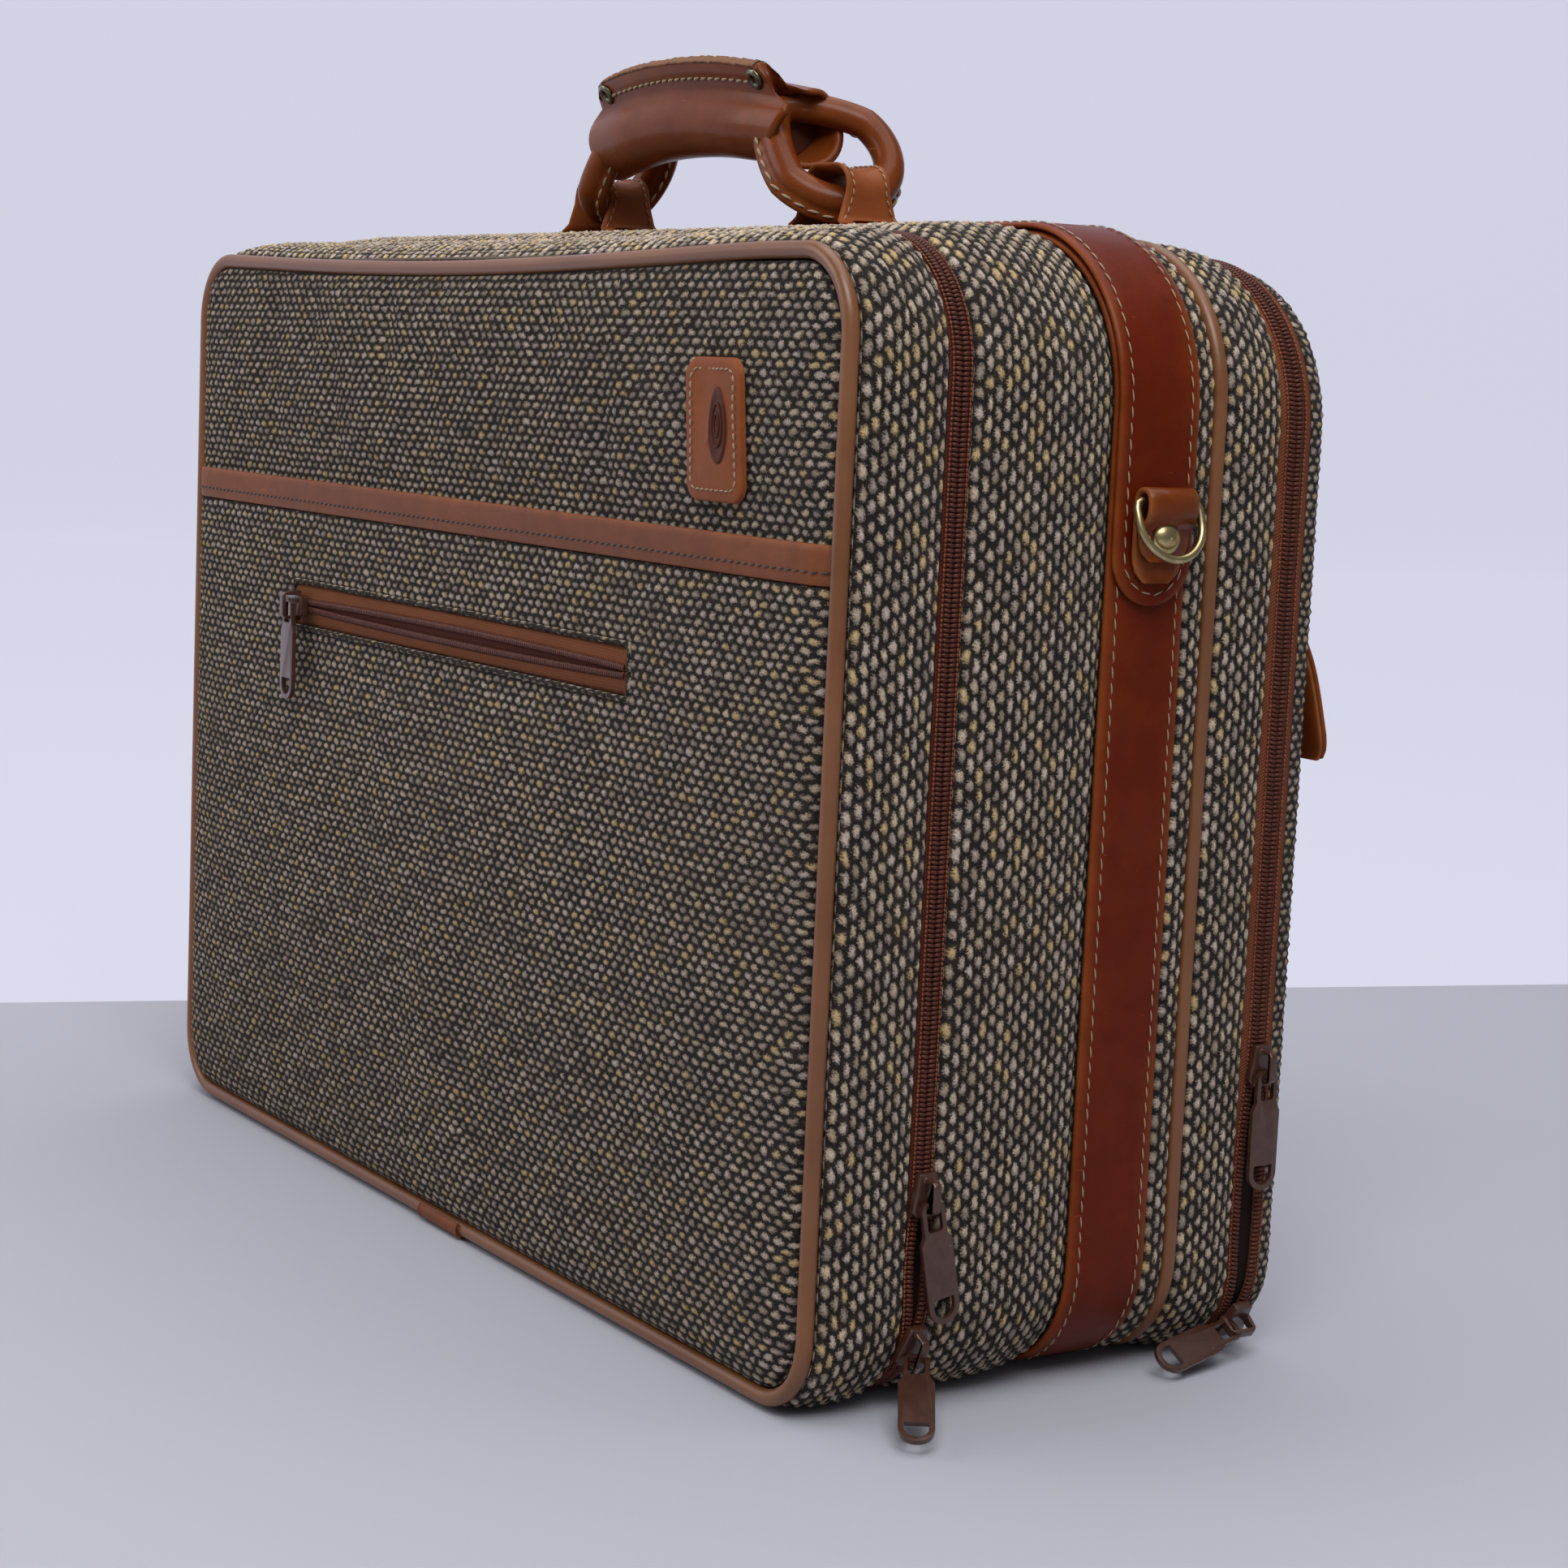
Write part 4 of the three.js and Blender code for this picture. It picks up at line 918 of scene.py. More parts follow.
def strap():
    """Strap round the case, a second layer with rounded ends over its upper part, and their seams."""
    path = on_outline(0.0, rise=STRAP_BASE)
    thick = STRAP_TOP - STRAP_BASE - 0.0001
    ring = belt("strap_leather", *path, Y, STRAP_HALF, thick, LEATHER, closed=True)
    settle(ring, "case", "leather", "strap")

    turn = np.radians(np.linspace(6, 90, 12))
    tail = OVERLAY_END + STRAP_HALF * (1 - np.cos(turn))
    over, facing = on_outline(0.0, rise=STRAP_TOP + 0.0003, corner=24)
    side_x = over[over[:, 2] > OVERLAY_END][0, 0]
    above = over[:, 2] > tail[-1] + 0.002
    over, facing = over[above], facing[above]
    half = STRAP_HALF * np.concatenate([np.sin(turn), np.ones(len(over)), np.sin(turn[::-1])])
    path = both_ends(columns(side_x, 0.0, tail), over), both_ends(np.tile(X, (12, 1)), facing)
    layer = belt("strap_overlay_leather", *path, Y, half, OVERLAY, LEATHER)
    settle(layer, "case", "leather", "strap_overlay")

    offset = STRAP_HALF - SEAM_IN
    lower, lower_facing = on_outline(0.0, rise=STRAP_TOP - 0.0002)
    visible = lower[:, 2] < OVERLAY_END + 0.012
    order = np.roll(np.arange(len(lower)), -np.argmax(~visible))
    order = order[visible[order]]
    seam_pair("strap_stitch", ("front", "rear"), lower[order], lower_facing[order], offset * Y, "case")
    turn = np.radians(np.linspace(0, 80, 8))
    end_z = OVERLAY_END + STRAP_HALF - offset * np.cos(turn)
    for name, side in (("front", -1), ("rear", 1)):
        end = columns(side_x + OVERLAY, side * offset * np.sin(turn), end_z)
        row = both_ends(end, over + facing * OVERLAY + side * offset * Y)
        stitch(f"overlay_stitch_{name}", row, both_ends(np.tile(X, (8, 1)), facing), "case")


strap()

# ------------------------------------------------------------------ zips

def zip_path(which, pitch):
    return resample(*on_outline(ZIPS[which]["y"], start=-72.0, side=80, span=90), pitch)


def zip_open(place, bottom, top, width):
    """How far each half of a zip stands off its middle between its two sliders."""
    t = np.clip((place[:, 2] - bottom) / (top - bottom), 0, 1)
    return np.where(place[:, 0] > 0, width * np.sin(np.pi * t) ** 0.6, 0.0)


def zip_half(which, side, body, node):
    """Half a zip: its tape and its row of coil, from corner to corner over the top."""
    gap, half, coil = (ZIPS[which][key] for key in ("gap", "half", "coil"))
    end = "rear" if side > 0 else "front"
    path, _, out = zip_path(which, TAPE_STEP)
    inner = 0.0002 + zip_open(path, *gap)[:, None]
    lie = inner + (half + 0.0004 - inner) * np.array([0, 0.33, 0.66, 1.0])
    lift = np.array([0.0003, 0.0004, 0.0002, -0.0006])[None, :, None]
    face = path[:, None] + side * lie[:, :, None] * Y + out[:, None] * lift
    tape = TAPE if which == "front" else REAR_TAPE
    settle(strip(f"{which}_zip_tape_{end}", face, -0.0009 * out[:, None], tape), body, "zip_coil", node)
    place, tangent, normal = zip_path(which, TOOTH)
    open_by = zip_open(place, *gap)[:, None]
    name = f"{which}_zip_coil_{end}"
    teeth = place + side * (coil * 0.5 + open_by) * Y + normal * 0.0003
    shape = bean(coil * 1.12, 0.0016, 0.0015, cols=8)
    row = scatter(name, shape, teeth, np.cross(normal, tangent), normal, COIL, slant=0.16 * side)
    settle(row, body, "zip_coil")
    chain = place + side * (coil * 1.22 + open_by) * Y + normal * 0.0004
    seam = scatter(name + "_seam", bean(0.0017, 0.0010, 0.0009), chain, tangent, normal, CHAIN_THREAD)
    settle(seam, body, "zip_coil")


def zip_gap_shade(which):
    """Near-black sheet seen between the two halves where a zip stands open: painted shade of the gap."""
    path, _, out = zip_path(which, TAPE_STEP)
    seen = (path[:, 0] > 0) & (path[:, 2] < ZIPS[which]["gap"][1] + 0.006)
    path, out = path[seen, None], out[seen, None]
    lie = np.linspace(-1, 1, 5) * (ZIPS[which]["half"] + 0.0005)
    face = path + lie[None, :, None] * Y - 0.0011 * out
    settle(strip(f"{which}_zip_gap_shade", face, -0.0006 * out, GAP_SHADE), "case", "zip_tape")


for which, lid, side in (("front", "front_lid", -1), ("rear", "rear_lid", 1)):
    zip_gap_shade(which)
    zip_half(which, -side, "case", f"{which}_chain_body")
    zip_half(which, side, lid, f"{which}_chain_lid")


def pocket_zip():
    """Zip let into the slip pocket: tape above and below, coils a little apart."""
    x = np.linspace(POCKET_ZIP_LEFT, POCKET_ZIP_RIGHT, 90)
    t = (x - POCKET_ZIP_LEFT) / (POCKET_ZIP_RIGHT - POCKET_ZIP_LEFT)
    gape = 0.0016 * np.sin(np.pi * np.clip((t - 0.05) / 0.95, 0, 1)) ** 0.7
    base = pocket_face(x, np.full_like(x, POCKET_ZIP_Z)) - 0.0002
    across = np.array([-0.0060, 0.0, 0.0060, 0.0060, -0.0060])
    depth = np.array([0.0002, -0.0001, 0.0002, 0.0006, 0.0006])
    backing = columns(x[:, None], base[:, None] + depth, POCKET_ZIP_Z + across)
    settle(skin("pocket_zip_backing", backing, TAPE, caps=True), "front_lid", "zip_tape")
    where = np.arange(POCKET_ZIP_LEFT + 0.002, POCKET_ZIP_RIGHT - 0.001, TOOTH)
    tooth = bean(0.0030, 0.0015, 0.0013)
    for name, side in (("upper", 1), ("lower", -1)):
        z = POCKET_ZIP_Z + side * (gape[:, None] + np.array([0.0002, 0.003, 0.006, 0.0086]))
        z[:, -1] = POCKET_ZIP_Z + side * 0.0086
        face = columns(x[:, None], base[:, None] + np.array([-0.0009, -0.0009, -0.0006, 0.0002]), z)
        tape = strip(f"pocket_tape_{name}", face, 0.0006 * Y, POCKET_TAPE)
        settle(tape, "front_lid", "zip_tape", *(["pocket_zip_tape"] if side > 0 else []))
        level = POCKET_ZIP_Z + side * (0.0013 + np.interp(where, x, gape))
        origin = columns(where, np.interp(where, x, base) - 0.0010, level)
        teeth = scatter(f"pocket_coil_{name}", tooth, origin, Z, -Y, COIL, slant=0.15 * side)
        settle(teeth, "front_lid", "zip_coil", f"pocket_chain_{name}")
    left, right = POCKET_ZIP_LEFT - 0.0012, POCKET_ZIP_RIGHT + 0.0012
    corners = np.array([(left, -0.0100), (right, -0.0100), (right, 0.0100), (left, 0.0100)])
    steps = np.linspace(0, 1, 30)[:-1, None]
    x, z = np.concatenate([a + (b - a) * steps for a, b in zip(corners, np.roll(corners, -1, axis=0))]).T
    points = columns(x, pocket_face(x, POCKET_ZIP_Z + z) - 0.0003, POCKET_ZIP_Z + z)
    settle(tube("pocket_zip_lip", points, -Y, 0.0011, PANEL_TWEED, sides=10), "front_lid", "tweed")


pocket_zip()


def relay(pull, hinge, way, face):
    """Turns a pull about its hinge so that it points along `way` and its flat side faces `face`."""
    points = np.array([vertex.co for vertex in pull.data.vertices]) - hinge
    far = points[np.argmax(np.linalg.norm(points, axis=1))]
    _, _, axes = np.linalg.svd(points - points.mean(axis=0), full_matrices=False)
    way, face = (np.asarray(v, float) for v in (way, face))
    way = unit(way)
    face = unit(face - (face @ way) * way)
    long_axis, flat_axis = axes[0] * np.sign(axes[0] @ far), axes[2]
    if flat_axis @ face < 0:
        flat_axis = -flat_axis
    before = np.array([long_axis, flat_axis, np.cross(long_axis, flat_axis)])
    after = np.array([way, face, np.cross(way, face)])
    pull.data.vertices.foreach_set("co", (points @ before.T @ after + hinge).ravel())
    pull.data.update()


for name in ("front_upper", "front_lower", "rear_upper", "rear_lower", "pocket"):
    refine(f"{name}_slider", f"{name}_slide", 0.0006)
    pull = refine(f"{name}_pull", f"{name}_tag", 0.0004)
    if name in LAID:
        relay(pull, *LAID[name])

# ------------------------------------------------------------------ pocket trim and emblem

trim_x = np.linspace(-0.2695, 0.2695, 160)
trim_y = pocket_face(trim_x, np.full_like(trim_x, POCKET_TOP - 0.001)) + 0.0010
trim_line = columns(trim_x, trim_y, POCKET_TOP + 0.0003 + TRIM_HALF)
trim = belt("pocket_trim_leather", trim_line, -Y, Z, TRIM_HALF, TRIM_THICK, TRIM_LEATHER)
settle(trim, "front_lid", "leather", "pocket_trim")
trim_seam = trim_line - TRIM_THICK * Y - 0.0024 * Z
stitch("pocket_trim_stitch", trim_seam, -Y, "front_lid", pitch=0.0045, width=0.0008, material=DARK_THREAD)


def rounded_loop(width, height, radius, y):
    """Rounded rectangle about the patch's centre, from its lower right corner."""
    in_x, in_z = width / 2 - radius, height / 2 - radius
    x, z, _, _ = np.concatenate([
        arc(PATCH_AT[0] + i * in_x, PATCH_AT[1] + k * in_z, radius, start, start + 90, 10)
        for i, k, start in ((1, -1, -90), (1, 1, 0), (-1, 1, 90), (-1, -1, 180))
    ]).T
    return columns(x, y, z)


def closing(loop, centre, factors):
    """The same loop drawn in towards its centre."""
    return [centre + (loop - centre) * np.array([k, 1, k]) for k in factors]


def emblem():
    """Leather patch with a plain raised oval and two rings."""
    levels = ((0, 0), (0, 0.6), (0.0003, 0.85), (0.0009, 1.0), (0.003, 1.05))
    width, height = PATCH_SIZE
    loops = [
        rounded_loop(width - 2 * i, height - 2 * i, max(0.007 - i, 0.001), PATCH_BACK - PATCH_THICK * rise)
        for i, rise in levels
    ]
    loops += closing(loops[4], np.array([PATCH_AT[0], 0, PATCH_AT[1]]), (0.66, 0.33, 0.03))
    patch = skin("emblem_patch_leather", np.stack(loops), PALE_LEATHER, caps=True)
    corner = np.zeros(len(patch.data.loops), int)
    patch.data.loops.foreach_get("vertex_index", corner)
    places = np.array([vertex.co for vertex in patch.data.vertices])[corner]
    set_lay(patch.data.attributes["lay"], columns(places[:, 0], places[:, 2], 0.0))
    settle(patch, "front_lid", "pale_leather", "emblem_patch")
    seam = rounded_loop(0.030, 0.041, 0.004, PATCH_BACK - 0.0020)
    stitch("emblem_stitch", seam, -Y, "front_lid", "pale_leather", pitch=0.0032, width=0.0007, closed=True)

    angle = np.linspace(0, 2 * np.pi, 48, endpoint=False)
    centre = np.array([OVAL_AT[0], PATCH_BACK, OVAL_AT[1]])
    oval = centre + columns(OVAL_RADII[0] * np.cos(angle), 0.0, OVAL_RADII[1] * np.sin(angle))
    factors = (1, 1, 0.94, 0.82, 0.76, 0.4, 0.03)
    lifts = (0.0018, 0.0023, 0.0026, 0.0025, 0.0022, 0.0022, 0.0022)
    loops = [loop - lift * Y for loop, lift in zip(closing(oval, centre, factors), lifts)]
    disc = skin("emblem_oval_leather", np.stack(loops), DARK_LEATHER, caps=True)
    settle(disc, "front_lid", "dark_leather", "emblem_oval")
    for k, scale in enumerate((0.56, 0.30)):
        ring = centre + (oval - centre) * scale - 0.0023 * Y
        settle(tube(f"emblem_ring_{k}", ring, -Y, 0.0004, DARK_LEATHER, sides=8), "front_lid", "dark_leather")
    for name in ("patch_leather", "stitch", "oval_leather", "ring_0", "ring_1"):
        for vertex in bpy.data.objects["emblem_" + name].data.vertices:
            x, _, z = vertex.co
            vertex.co.y += float(front_face(np.array(x), np.array(z))) - PANEL_FRONT - 0.0010


emblem()

# ------------------------------------------------------------------ D-rings

def dring_tab(side, label):
    """Strip folded over the ring's bar and closed by the stud."""
    loop, centre = 0.0036, TAB_BACK + 0.005
    bend = np.radians(np.linspace(0, 180, 14))
    profile = np.concatenate([
        columns(TAB_BACK + 0.0013, np.linspace(0.2850, DRING_Z - 0.004, 8)),
        columns(centre - loop * np.cos(bend), DRING_Z + loop * np.sin(bend)),
        [(centre + loop, DRING_Z - 0.003), (centre + loop * 0.75, DRING_Z - 0.006)],
        columns(TAB_BACK + 0.0040, np.linspace(DRING_Z - 0.009, 0.2925, 5)),
    ])
    taper = np.ones(len(profile))
    taper[-3:] = (0.97, 0.86, 0.55)
    taper[:3] = (0.5, 0.85, 0.97)
    points = columns(side * profile[:, 0], 0.0, profile[:, 1])
    normal = np.cross(Y, directions(points))
    name = f"dring_tab_leather_{label}"
    tab = belt(name, points - normal * TAB_THICK / 2, normal, Y, TAB_HALF * taper, TAB_THICK, HANDLE_LEATHER)
    settle(tab, "case", "leather", f"dring_tab_{label}")


def dring(side, label, body):
    half, centre = DRING_HALF, DRING_HALF - DRING_DROP
    angle = np.linspace(np.pi, 2 * np.pi, 25)
    arch = columns(half * np.cos(angle), centre + half * np.sin(angle))
    corner = np.array([[half, -0.003], [half - 0.0006, -0.0009], [half - 0.0022, 0]])
    bar = np.linspace((half - 0.004, 0), (0.004 - half, 0), 8)
    y, drop = np.concatenate([arch, corner, bar, corner[::-1] * (-1, 1)]).T
    tip = np.array([side * math.cos(DRING_SWING), 0, math.sin(DRING_SWING)])
    hang = np.array([-side * math.sin(DRING_SWING), 0, math.cos(DRING_SWING)])
    points = y[:, None] * Y + drop[:, None] * hang + (side * (TAB_BACK + 0.005), 0, DRING_Z)
    settle(tube(f"dring_wire_{label}", points, tip, DRING_WIRE, BRASS), body, "brass", f"dring_{label}")


def stud(side, label):
    profile = np.array(
        [(0.1, 0), (5.6, 0), (5.9, 0.7), (5.5, 1.6), (4.6, 2.6), (3.1, 3.5), (1.4, 4.0), (0.1, 4.1)]
    ) / 1000
    rings = lathe(profile, (side * (TAB_BACK + 0.0049), 0, STUD_Z), (side, 0, 0))
    settle(skin(f"dring_stud_dome_{label}", rings, BRASS, caps=True), "case", "brass", f"dring_stud_{label}")


for side, label in SIDES:
    dring_tab(side, label)
    dring(side, label, "dring_right" if side > 0 else "dring_left")
    stud(side, label)

# ------------------------------------------------------------------ handle

def turned(vectors):
    """Leans directions forward with the handle."""
    x, y, z = np.moveaxis(np.asarray(vectors, float), -1, 0)
    cos, sin = math.cos(HANDLE_LEAN), math.sin(HANDLE_LEAN)
    return columns(x, y * cos - z * sin, y * sin + z * cos)


def swung(points):
    """Carries a handle piece from upright to its rest place: leaning forward and off centre."""
    hinge = np.array([0, 0, HANDLE_HINGE])
    return turned(points - hinge) + hinge + HANDLE_SHIFT * X


def loop_fin(angle):
    """The stitched edges of a rolled loop stand up along its seam."""
    angle = (angle + np.pi) % (2 * np.pi) - np.pi
    return 0.0034 * np.exp(-((angle / 0.30) ** 4))


def handle_ring(side, label):
    """Rolled leather loop, narrow where it runs up into the grip, its edges stitched together."""
    tall = np.array([-side * math.sin(LOOP_LEAN), 0, math.cos(LOOP_LEAN)])
    normal = np.array([side * math.cos(LOOP_LEAN), 0, math.sin(LOOP_LEAN)])
    foot = np.array([side * (RING_AT + RING_RADIUS * math.sin(RING_LEAN)), 0,
                     HANDLE_HINGE - RING_RADIUS * math.cos(RING_LEAN)])
    angle = np.linspace(0, 2 * np.pi, 72, endpoint=False)[:, None]
    sideways = LOOP_WIDE * np.sin(angle) * (1 - 0.42 * np.clip(np.cos(angle), 0, None))
    points = foot + sideways * Y + LOOP_LONG * (1 + np.cos(angle)) * tall
    radial = -side * np.cross(directions(points, closed=True), normal)
    seam = np.radians(42 - 34 * np.sin(angle) if side > 0 else 8)
    lie = np.sin(seam) * radial - np.cos(seam) * normal
    beside = np.cos(seam) * radial + np.sin(seam) * normal
    name = f"handle_ring_leather_{label}"
    loop = tube(name, swung(points), turned(lie), LOOP_TUBE, HANDLE_LEATHER, sides=40, bump=loop_fin)
    settle(loop, "handle", "leather", f"handle_ring_{label}")
    for k, turn in enumerate((1, -1)):
        row = swung(points + lie * (LOOP_TUBE + 0.0014) + turn * 0.0020 * beside)
        facing = turned(turn * 0.9 * beside + 0.1 * lie)
        name = f"handle_ring_stitch_{label}_{k}"
        stitch(name, row, facing, "handle", pitch=0.0062, width=0.0012, closed=True)


def grip_centre(x):
    return GRIP_Z - GRIP_SAG * (x / GRIP_HALF) ** 2


def grip_section():
    """The wrap's cross-section: round below, its two edges standing up together on top."""
    lean = np.radians(np.linspace(62, -242, 41))
    barrel = columns(GRIP_WIDE * np.cos(lean), GRIP_Z + GRIP_HIGH * np.sin(lean))
    front = np.array([
        (0.0008, FLANGE), (NECK - 0.0004, FLANGE * 0.93), (NECK, FLANGE * 0.55), (NECK + 0.0006, 0.0020),
        (NECK + 0.0026, -0.0006),
    ]) + (0, GRIP_Z + GRIP_HIGH)
    return np.concatenate([front, barrel, front[::-1] * (-1, 1)])


def grip():
    """Leather wrapped round the core: open ends drawn back at the sides, where the rings pass."""
    y, z = grip_section().T
    height = (z - GRIP_Z) / GRIP_HIGH
    side_pull = 0.0085 * np.clip(1 - np.abs(height), 0, 1) ** 0.8
    flange_pull = np.where(height > 1.02, 0.009 + 0.006 * (np.clip(height - 1.05, 0, 1) / 0.75) ** 3, 0)
    along = np.linspace(-1, 1, 61)[:, None]
    x = along * (GRIP_HALF + 0.003 - side_pull - flange_pull)
    belly = 1 + 0.05 * np.exp(-((np.abs(along) - 0.62) / 0.2) ** 2)
    ring = np.radians(np.linspace(90, -270, len(y)))
    outer = columns(x, y * belly, z + grip_centre(x) - GRIP_Z)
    inner = columns(x, 0.0146 * np.cos(ring), grip_centre(x) + 0.0126 * np.sin(ring))
    shell = np.concatenate([outer, inner[::-1]])
    piece = skin("grip_leather", swung(shell), HANDLE_LEATHER, close_rows=True)
    settle(piece, "handle", "leather", "grip_wrap", "grip_flange")
    x = np.linspace(-0.056, 0.056, 60)
    for name, side in (("front", -1), ("rear", 1)):
        row = columns(x, side * 0.0029, grip_centre(x) + GRIP_HIGH + 0.0052)
        stitch(f"grip_stitch_{name}", swung(row), turned(side * Y), "handle", pitch=0.0050, width=0.0013)
    x = np.linspace(-0.0615, 0.0615, 70)
    fray = rng.uniform(-0.0003, 0.0005, len(x))
    crest = columns(x, 0.0, grip_centre(x) + GRIP_HIGH + FLANGE - 0.0004 + fray)
    raw = belt("grip_raw_edge", swung(crest - 0.0006 * Z), turned(Z), turned(Y), 0.0023, 0.0012, CUT_LEATHER)
    settle(raw, "handle", "leather")


def eyelet(side, label):
    x = side * EYELET_AT
    reach = 0.0030
    rim = np.array([(1.6, 0.0), (2.2, 1.0), (3.4, 1.2), (4.5, 0.5), (4.6, -0.4), (3.0, -0.6)]) / 1000
    rim[:, 1] += reach
    profile = np.concatenate([rim * (1, -1), rim[::-1]])
    rings = lathe(profile, (x, 0, grip_centre(x) + GRIP_HIGH + EYELET_RISE), (0, 1, 0), sides=32)
    piece = skin(f"grip_eyelet_ring_{label}", swung(rings), DARK_BRASS, close_rows=True)
    settle(piece, "handle", "brass", f"grip_eyelet_{label}")


def chape(side, label):
    """Strip lying on the strap either side of the ring and arched over it like a saddle."""
    base = LINES[3][3] + OVERLAY_TOP + 0.0004
    round_off = 0.0085
    bend = np.radians(np.linspace(15, 90, 7))
    near = np.concatenate([
        [
            (CHAPE_INNER - CHAPE_WING, base), (CHAPE_INNER - CHAPE_WING / 2, base),
            (CHAPE_INNER - 0.0030, base + 0.0002), (CHAPE_INNER - 0.0010, base + 0.0016),
            (CHAPE_INNER, base + 0.0040), (CHAPE_INNER + 0.0002, CHAPE_TOP - 0.0090),
        ],
        columns(CHAPE_INNER + round_off * (1 - np.cos(bend)), CHAPE_TOP - round_off * (1 - np.sin(bend))),
    ])
    x, z = np.concatenate([near, near[::-1] * (-1, 1) + (CHAPE_INNER + CHAPE_OUTER, 0)]).T
    points = columns(side * x, 0.0, z)
    normal = -side * np.cross(Y, directions(points))
    points[:, 0] += HANDLE_SHIFT
    half = CHAPE_HALF + 0.0045 * np.clip(1 - (z - base - 0.001) / 0.012, 0, 1) ** 1.5
    half[[0, -1]] *= 0.8
    piece = belt(f"chape_leather_{label}", points, normal, Y, half, CHAPE_THICK, PALE_LEATHER)
    for vertex in piece.data.vertices:
        lift = np.clip((vertex.co.z - base - 0.004) / 0.012, 0, 1)
        vertex.co.z += CHAPE_SADDLE * lift * (vertex.co.y / CHAPE_HALF) ** 2
    settle(piece, "case", "leather", f"chape_{label}")
    row = points + normal * 0.0023
    row[:, 2] += CHAPE_SADDLE * np.clip((row[:, 2] - base - 0.004) / 0.012, 0, 1) * 0.55
    offset = (half - 0.0026)[:, None] * Y
    row, normal, offset = (a[1:-1] for a in (row, normal, offset))
    seam_pair(f"chape_stitch_{label}", ("front", "rear"), row, normal, offset, "case", pitch=0.0036)


for side, label in SIDES:
    handle_ring(side, label)
    eyelet(side, label)
    chape(side, label)
grip()

# ------------------------------------------------------------------ piping joint and back

wrap = np.radians(np.linspace(140, 290, 16))
arch = columns(np.cos(wrap), np.sin(wrap))
sleeve = np.concatenate([0.0042 * arch, 0.0031 * arch[::-1]]) + (FRONT_SEAM_Y, line_at(FRONT_SEAM_Y)[1])
sleeve = columns(np.linspace(-0.015, 0.020, 12)[:, None], *sleeve.T)
settle(skin("piping_joint_leather", sleeve, TRIM_LEATHER, caps=True), "front_lid", "leather", "piping_joint")


def rear_strap(side, label, body):
    """Strip sewn down the back near its edge, and the doubled tab curling off its lower end."""
    x, half, ends = side * BACK_STRAP_AT, BACK_STRAP_HALF, ("inner", "outer")
    points = columns(x, BACK_STRAP_Y, np.linspace(0.266, 0.334, 20))
    taper = np.ones(20)
    taper[[0, -1]] = 0.9
    piece = belt(f"rear_strap_leather_{label}", points, Y, X, half * taper, 0.0020, LEATHER)
    settle(piece, "rear_lid", "leather", f"rear_strap_{label}")
    name = f"rear_strap_stitch_{label}"
    seam_pair(name, ends, points[1:-1] + 0.0021 * Y, Y, (half - 0.0035) * X, "rear_lid", pitch=0.005)
    t = np.linspace(0, 1, 16)
    stand_off = 0.0005 + 0.0075 * (1 - (1 - t) ** 4) + 0.0088 * t**1.6
    curl = columns(x + side * 0.0015, BACK_STRAP_Y + stand_off, BACK_TAB_TOP - BACK_TAB_LONG * t)
    normal = -np.cross(directions(curl), X)
    taper = np.ones(16)
    taper[-3:] = (0.96, 0.88, 0.7)
    for k, hide in enumerate((HANDLE_LEATHER, PALE_LEATHER)):
        line = curl + 0.0021 * k * normal
        layer = belt(f"rear_tab_layer_{label}_{k}", line, normal, X, half * taper, 0.0019, hide)
        settle(layer, body, "leather", *([f"rear_tab_{label}"] if k == 0 else []))
    row = (curl + 0.0042 * normal)[1:-2]
    seam_pair(f"rear_tab_stitch_{label}", ends, row, normal[1:-2], (half - 0.0045) * X, body, pitch=0.005)


rear_strap(1, "r", "rear_tab_right")
rear_strap(-1, "l", "rear_tab_left")

# ------------------------------------------------------------------ CAD nodes that stay

KEPT = {
    LINING: ("body_lining", "rear_lining", "front_lining"),
    BOARD: ("body_frame", "divider_board", "front_board", "rear_board"),
    DARK_LEATHER: ("grip_core",),
    FLAT_TWEED: ("front_hinge_strip", "rear_hinge_strip"),
}
for material, names in KEPT.items():
    for name in names:
        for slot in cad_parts[name].material_slots:
            slot.material = material

# ------------------------------------------------------------------ stage, light and camera

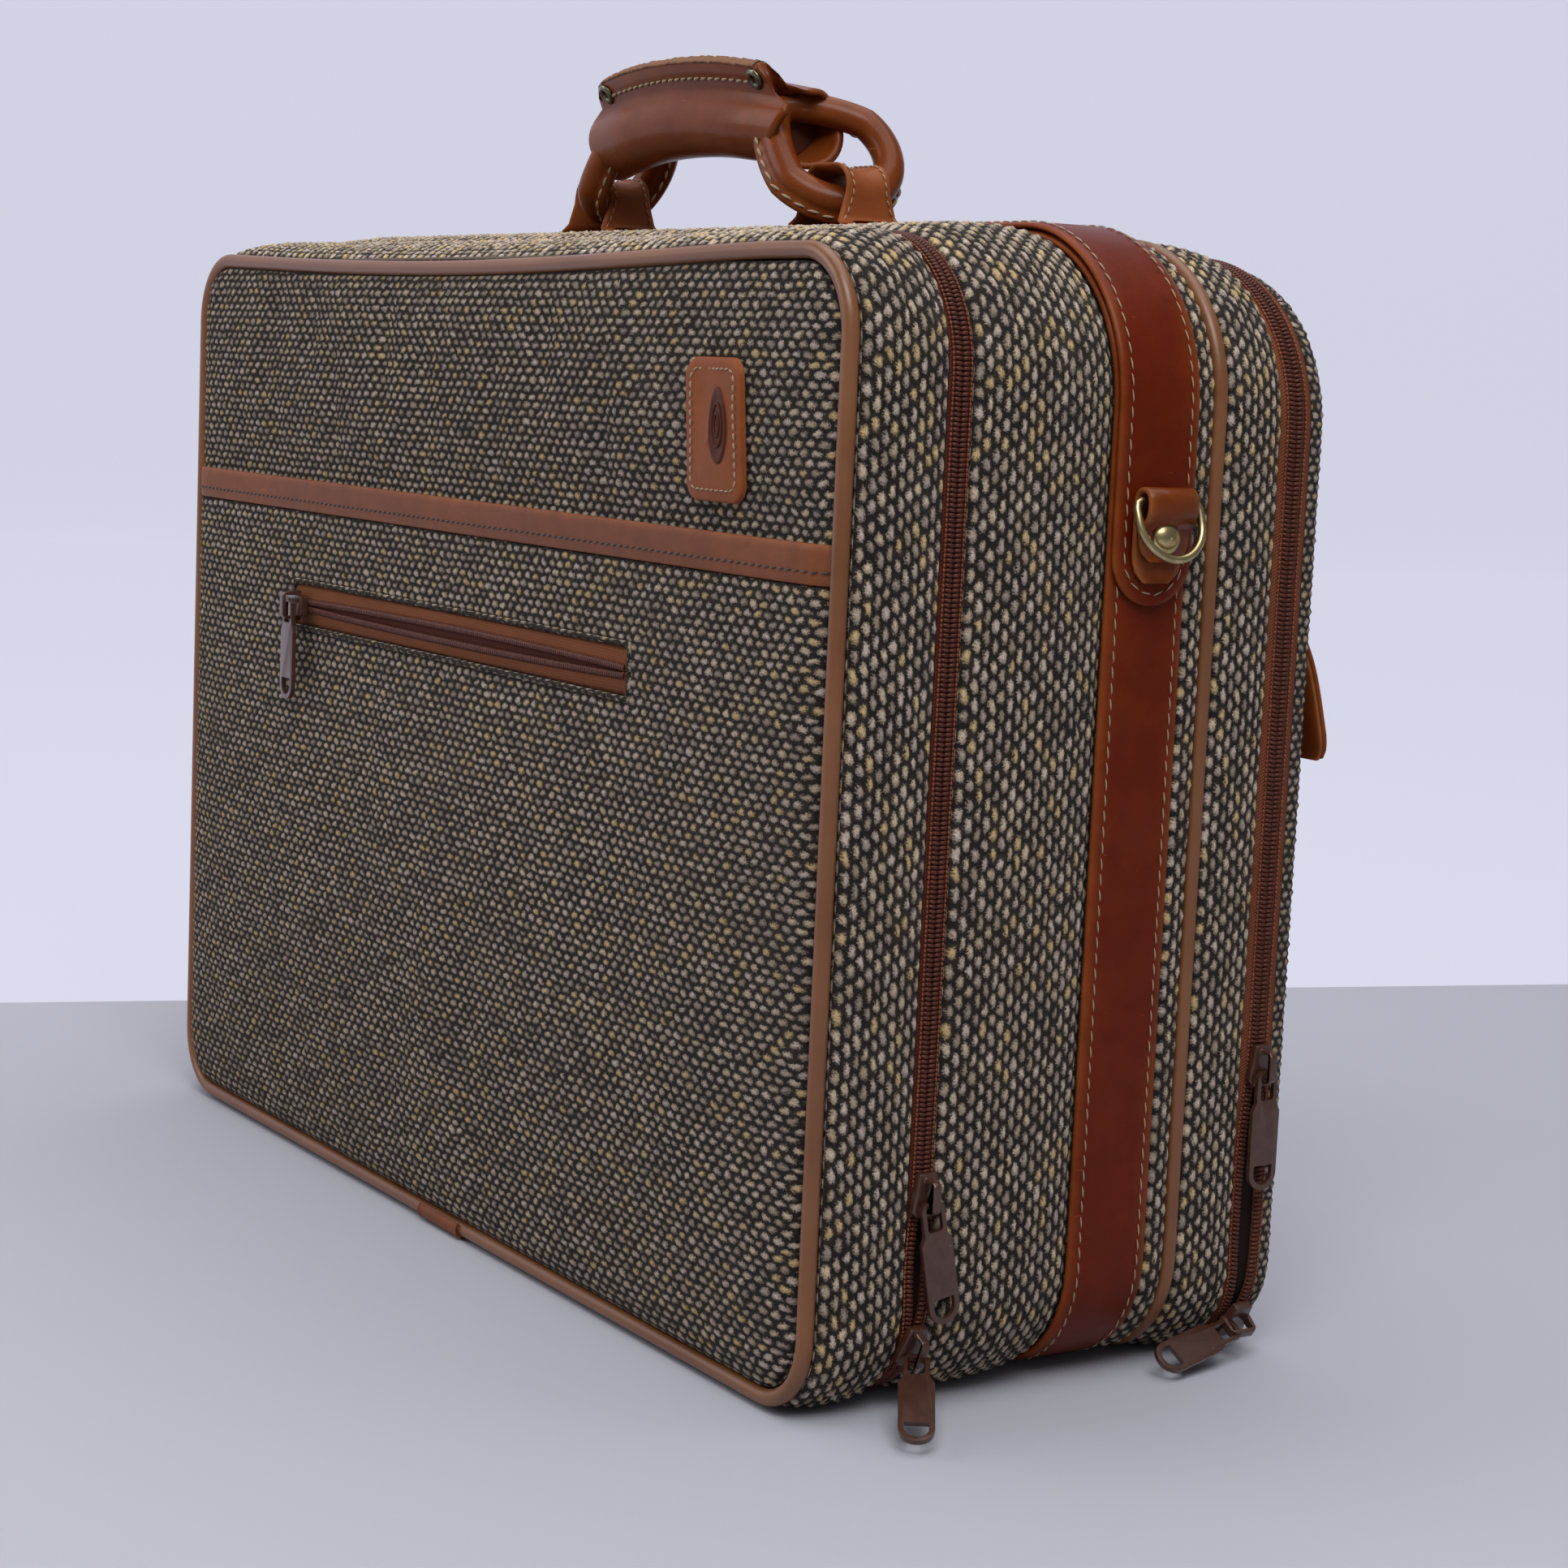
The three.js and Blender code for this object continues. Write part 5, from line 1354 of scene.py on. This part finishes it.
level = Vector((math.cos(AZIMUTH), math.sin(AZIMUTH), 0))
outward = Vector((math.sin(AZIMUTH), -math.cos(AZIMUTH), 0))
back = math.cos(ELEVATION) * outward + math.sin(ELEVATION) * Vector(Z)
upright = back.cross(level)
across = math.cos(ROLL) * level + math.sin(ROLL) * upright
up = math.cos(ROLL) * upright - math.sin(ROLL) * level
camera = new_object("camera", bpy.data.cameras.new("camera"))
camera.data.lens = LENS
camera.data.clip_start = 0.01
camera.matrix_world = Matrix.Translation(CAMERA_AT) @ Matrix((across, up, back)).transposed().to_4x4()
bpy.context.scene.camera = camera


def sweep(name, profile, material):
    """A wide sheet whose section, seen from the side, is given as (distance beyond the case, height)."""
    along_edge = Vector((math.cos(FLOOR_TURN), math.sin(FLOOR_TURN), 0))
    beyond = Vector((-math.sin(FLOOR_TURN), math.cos(FLOOR_TURN), 0))
    points = [
        tuple(beyond * distance + Vector(Z) * height + along_edge * reach)
        for distance, height in profile
        for reach in (-STAGE_REACH, STAGE_REACH)
    ]
    faces = [(2 * k, 2 * k + 2, 2 * k + 3, 2 * k + 1) for k in range(len(profile) - 1)]
    make_object(name, points, faces, material)


bend = [(4.5 + math.sin(a), FLOOR_Z + 1 - math.cos(a)) for a in np.linspace(0, math.pi / 2, 24)]
sweep("floor", [(-STAGE_REACH, FLOOR_Z), (FLOOR_EDGE, FLOOR_Z)], FLOOR)
sweep("backdrop", [(FLOOR_EDGE, FLOOR_Z), *bend, (5.5, 6.0)], BACKDROP)

for name, place, size, power in (
    ("key", (1.6, -0.9, 2.2), (1.6, 1.2), 42),
    ("fill", (-1.3, -2.2, 1.5), (1.8, 1.6), 24),
    ("top", (0.0, 0.2, 2.4), (2.4, 2.0), 30),
):
    light = new_object(name, bpy.data.lights.new(name, "AREA"))
    light.data.shape = "RECTANGLE"
    light.data.size, light.data.size_y = size
    light.data.energy = power
    light.location = place
    light.rotation_euler = (Vector((0, 0, 0.2)) - Vector(place)).to_track_quat("-Z", "Y").to_euler()

world = bpy.data.worlds.new("studio")
bpy.context.scene.world = world
world.use_nodes = True
background = world.node_tree.nodes["Background"]
background.inputs["Color"].default_value = (0.97, 0.98, 1.0, 1)
background.inputs["Strength"].default_value = 0.20
bpy.context.scene.view_settings.view_transform = "Standard"
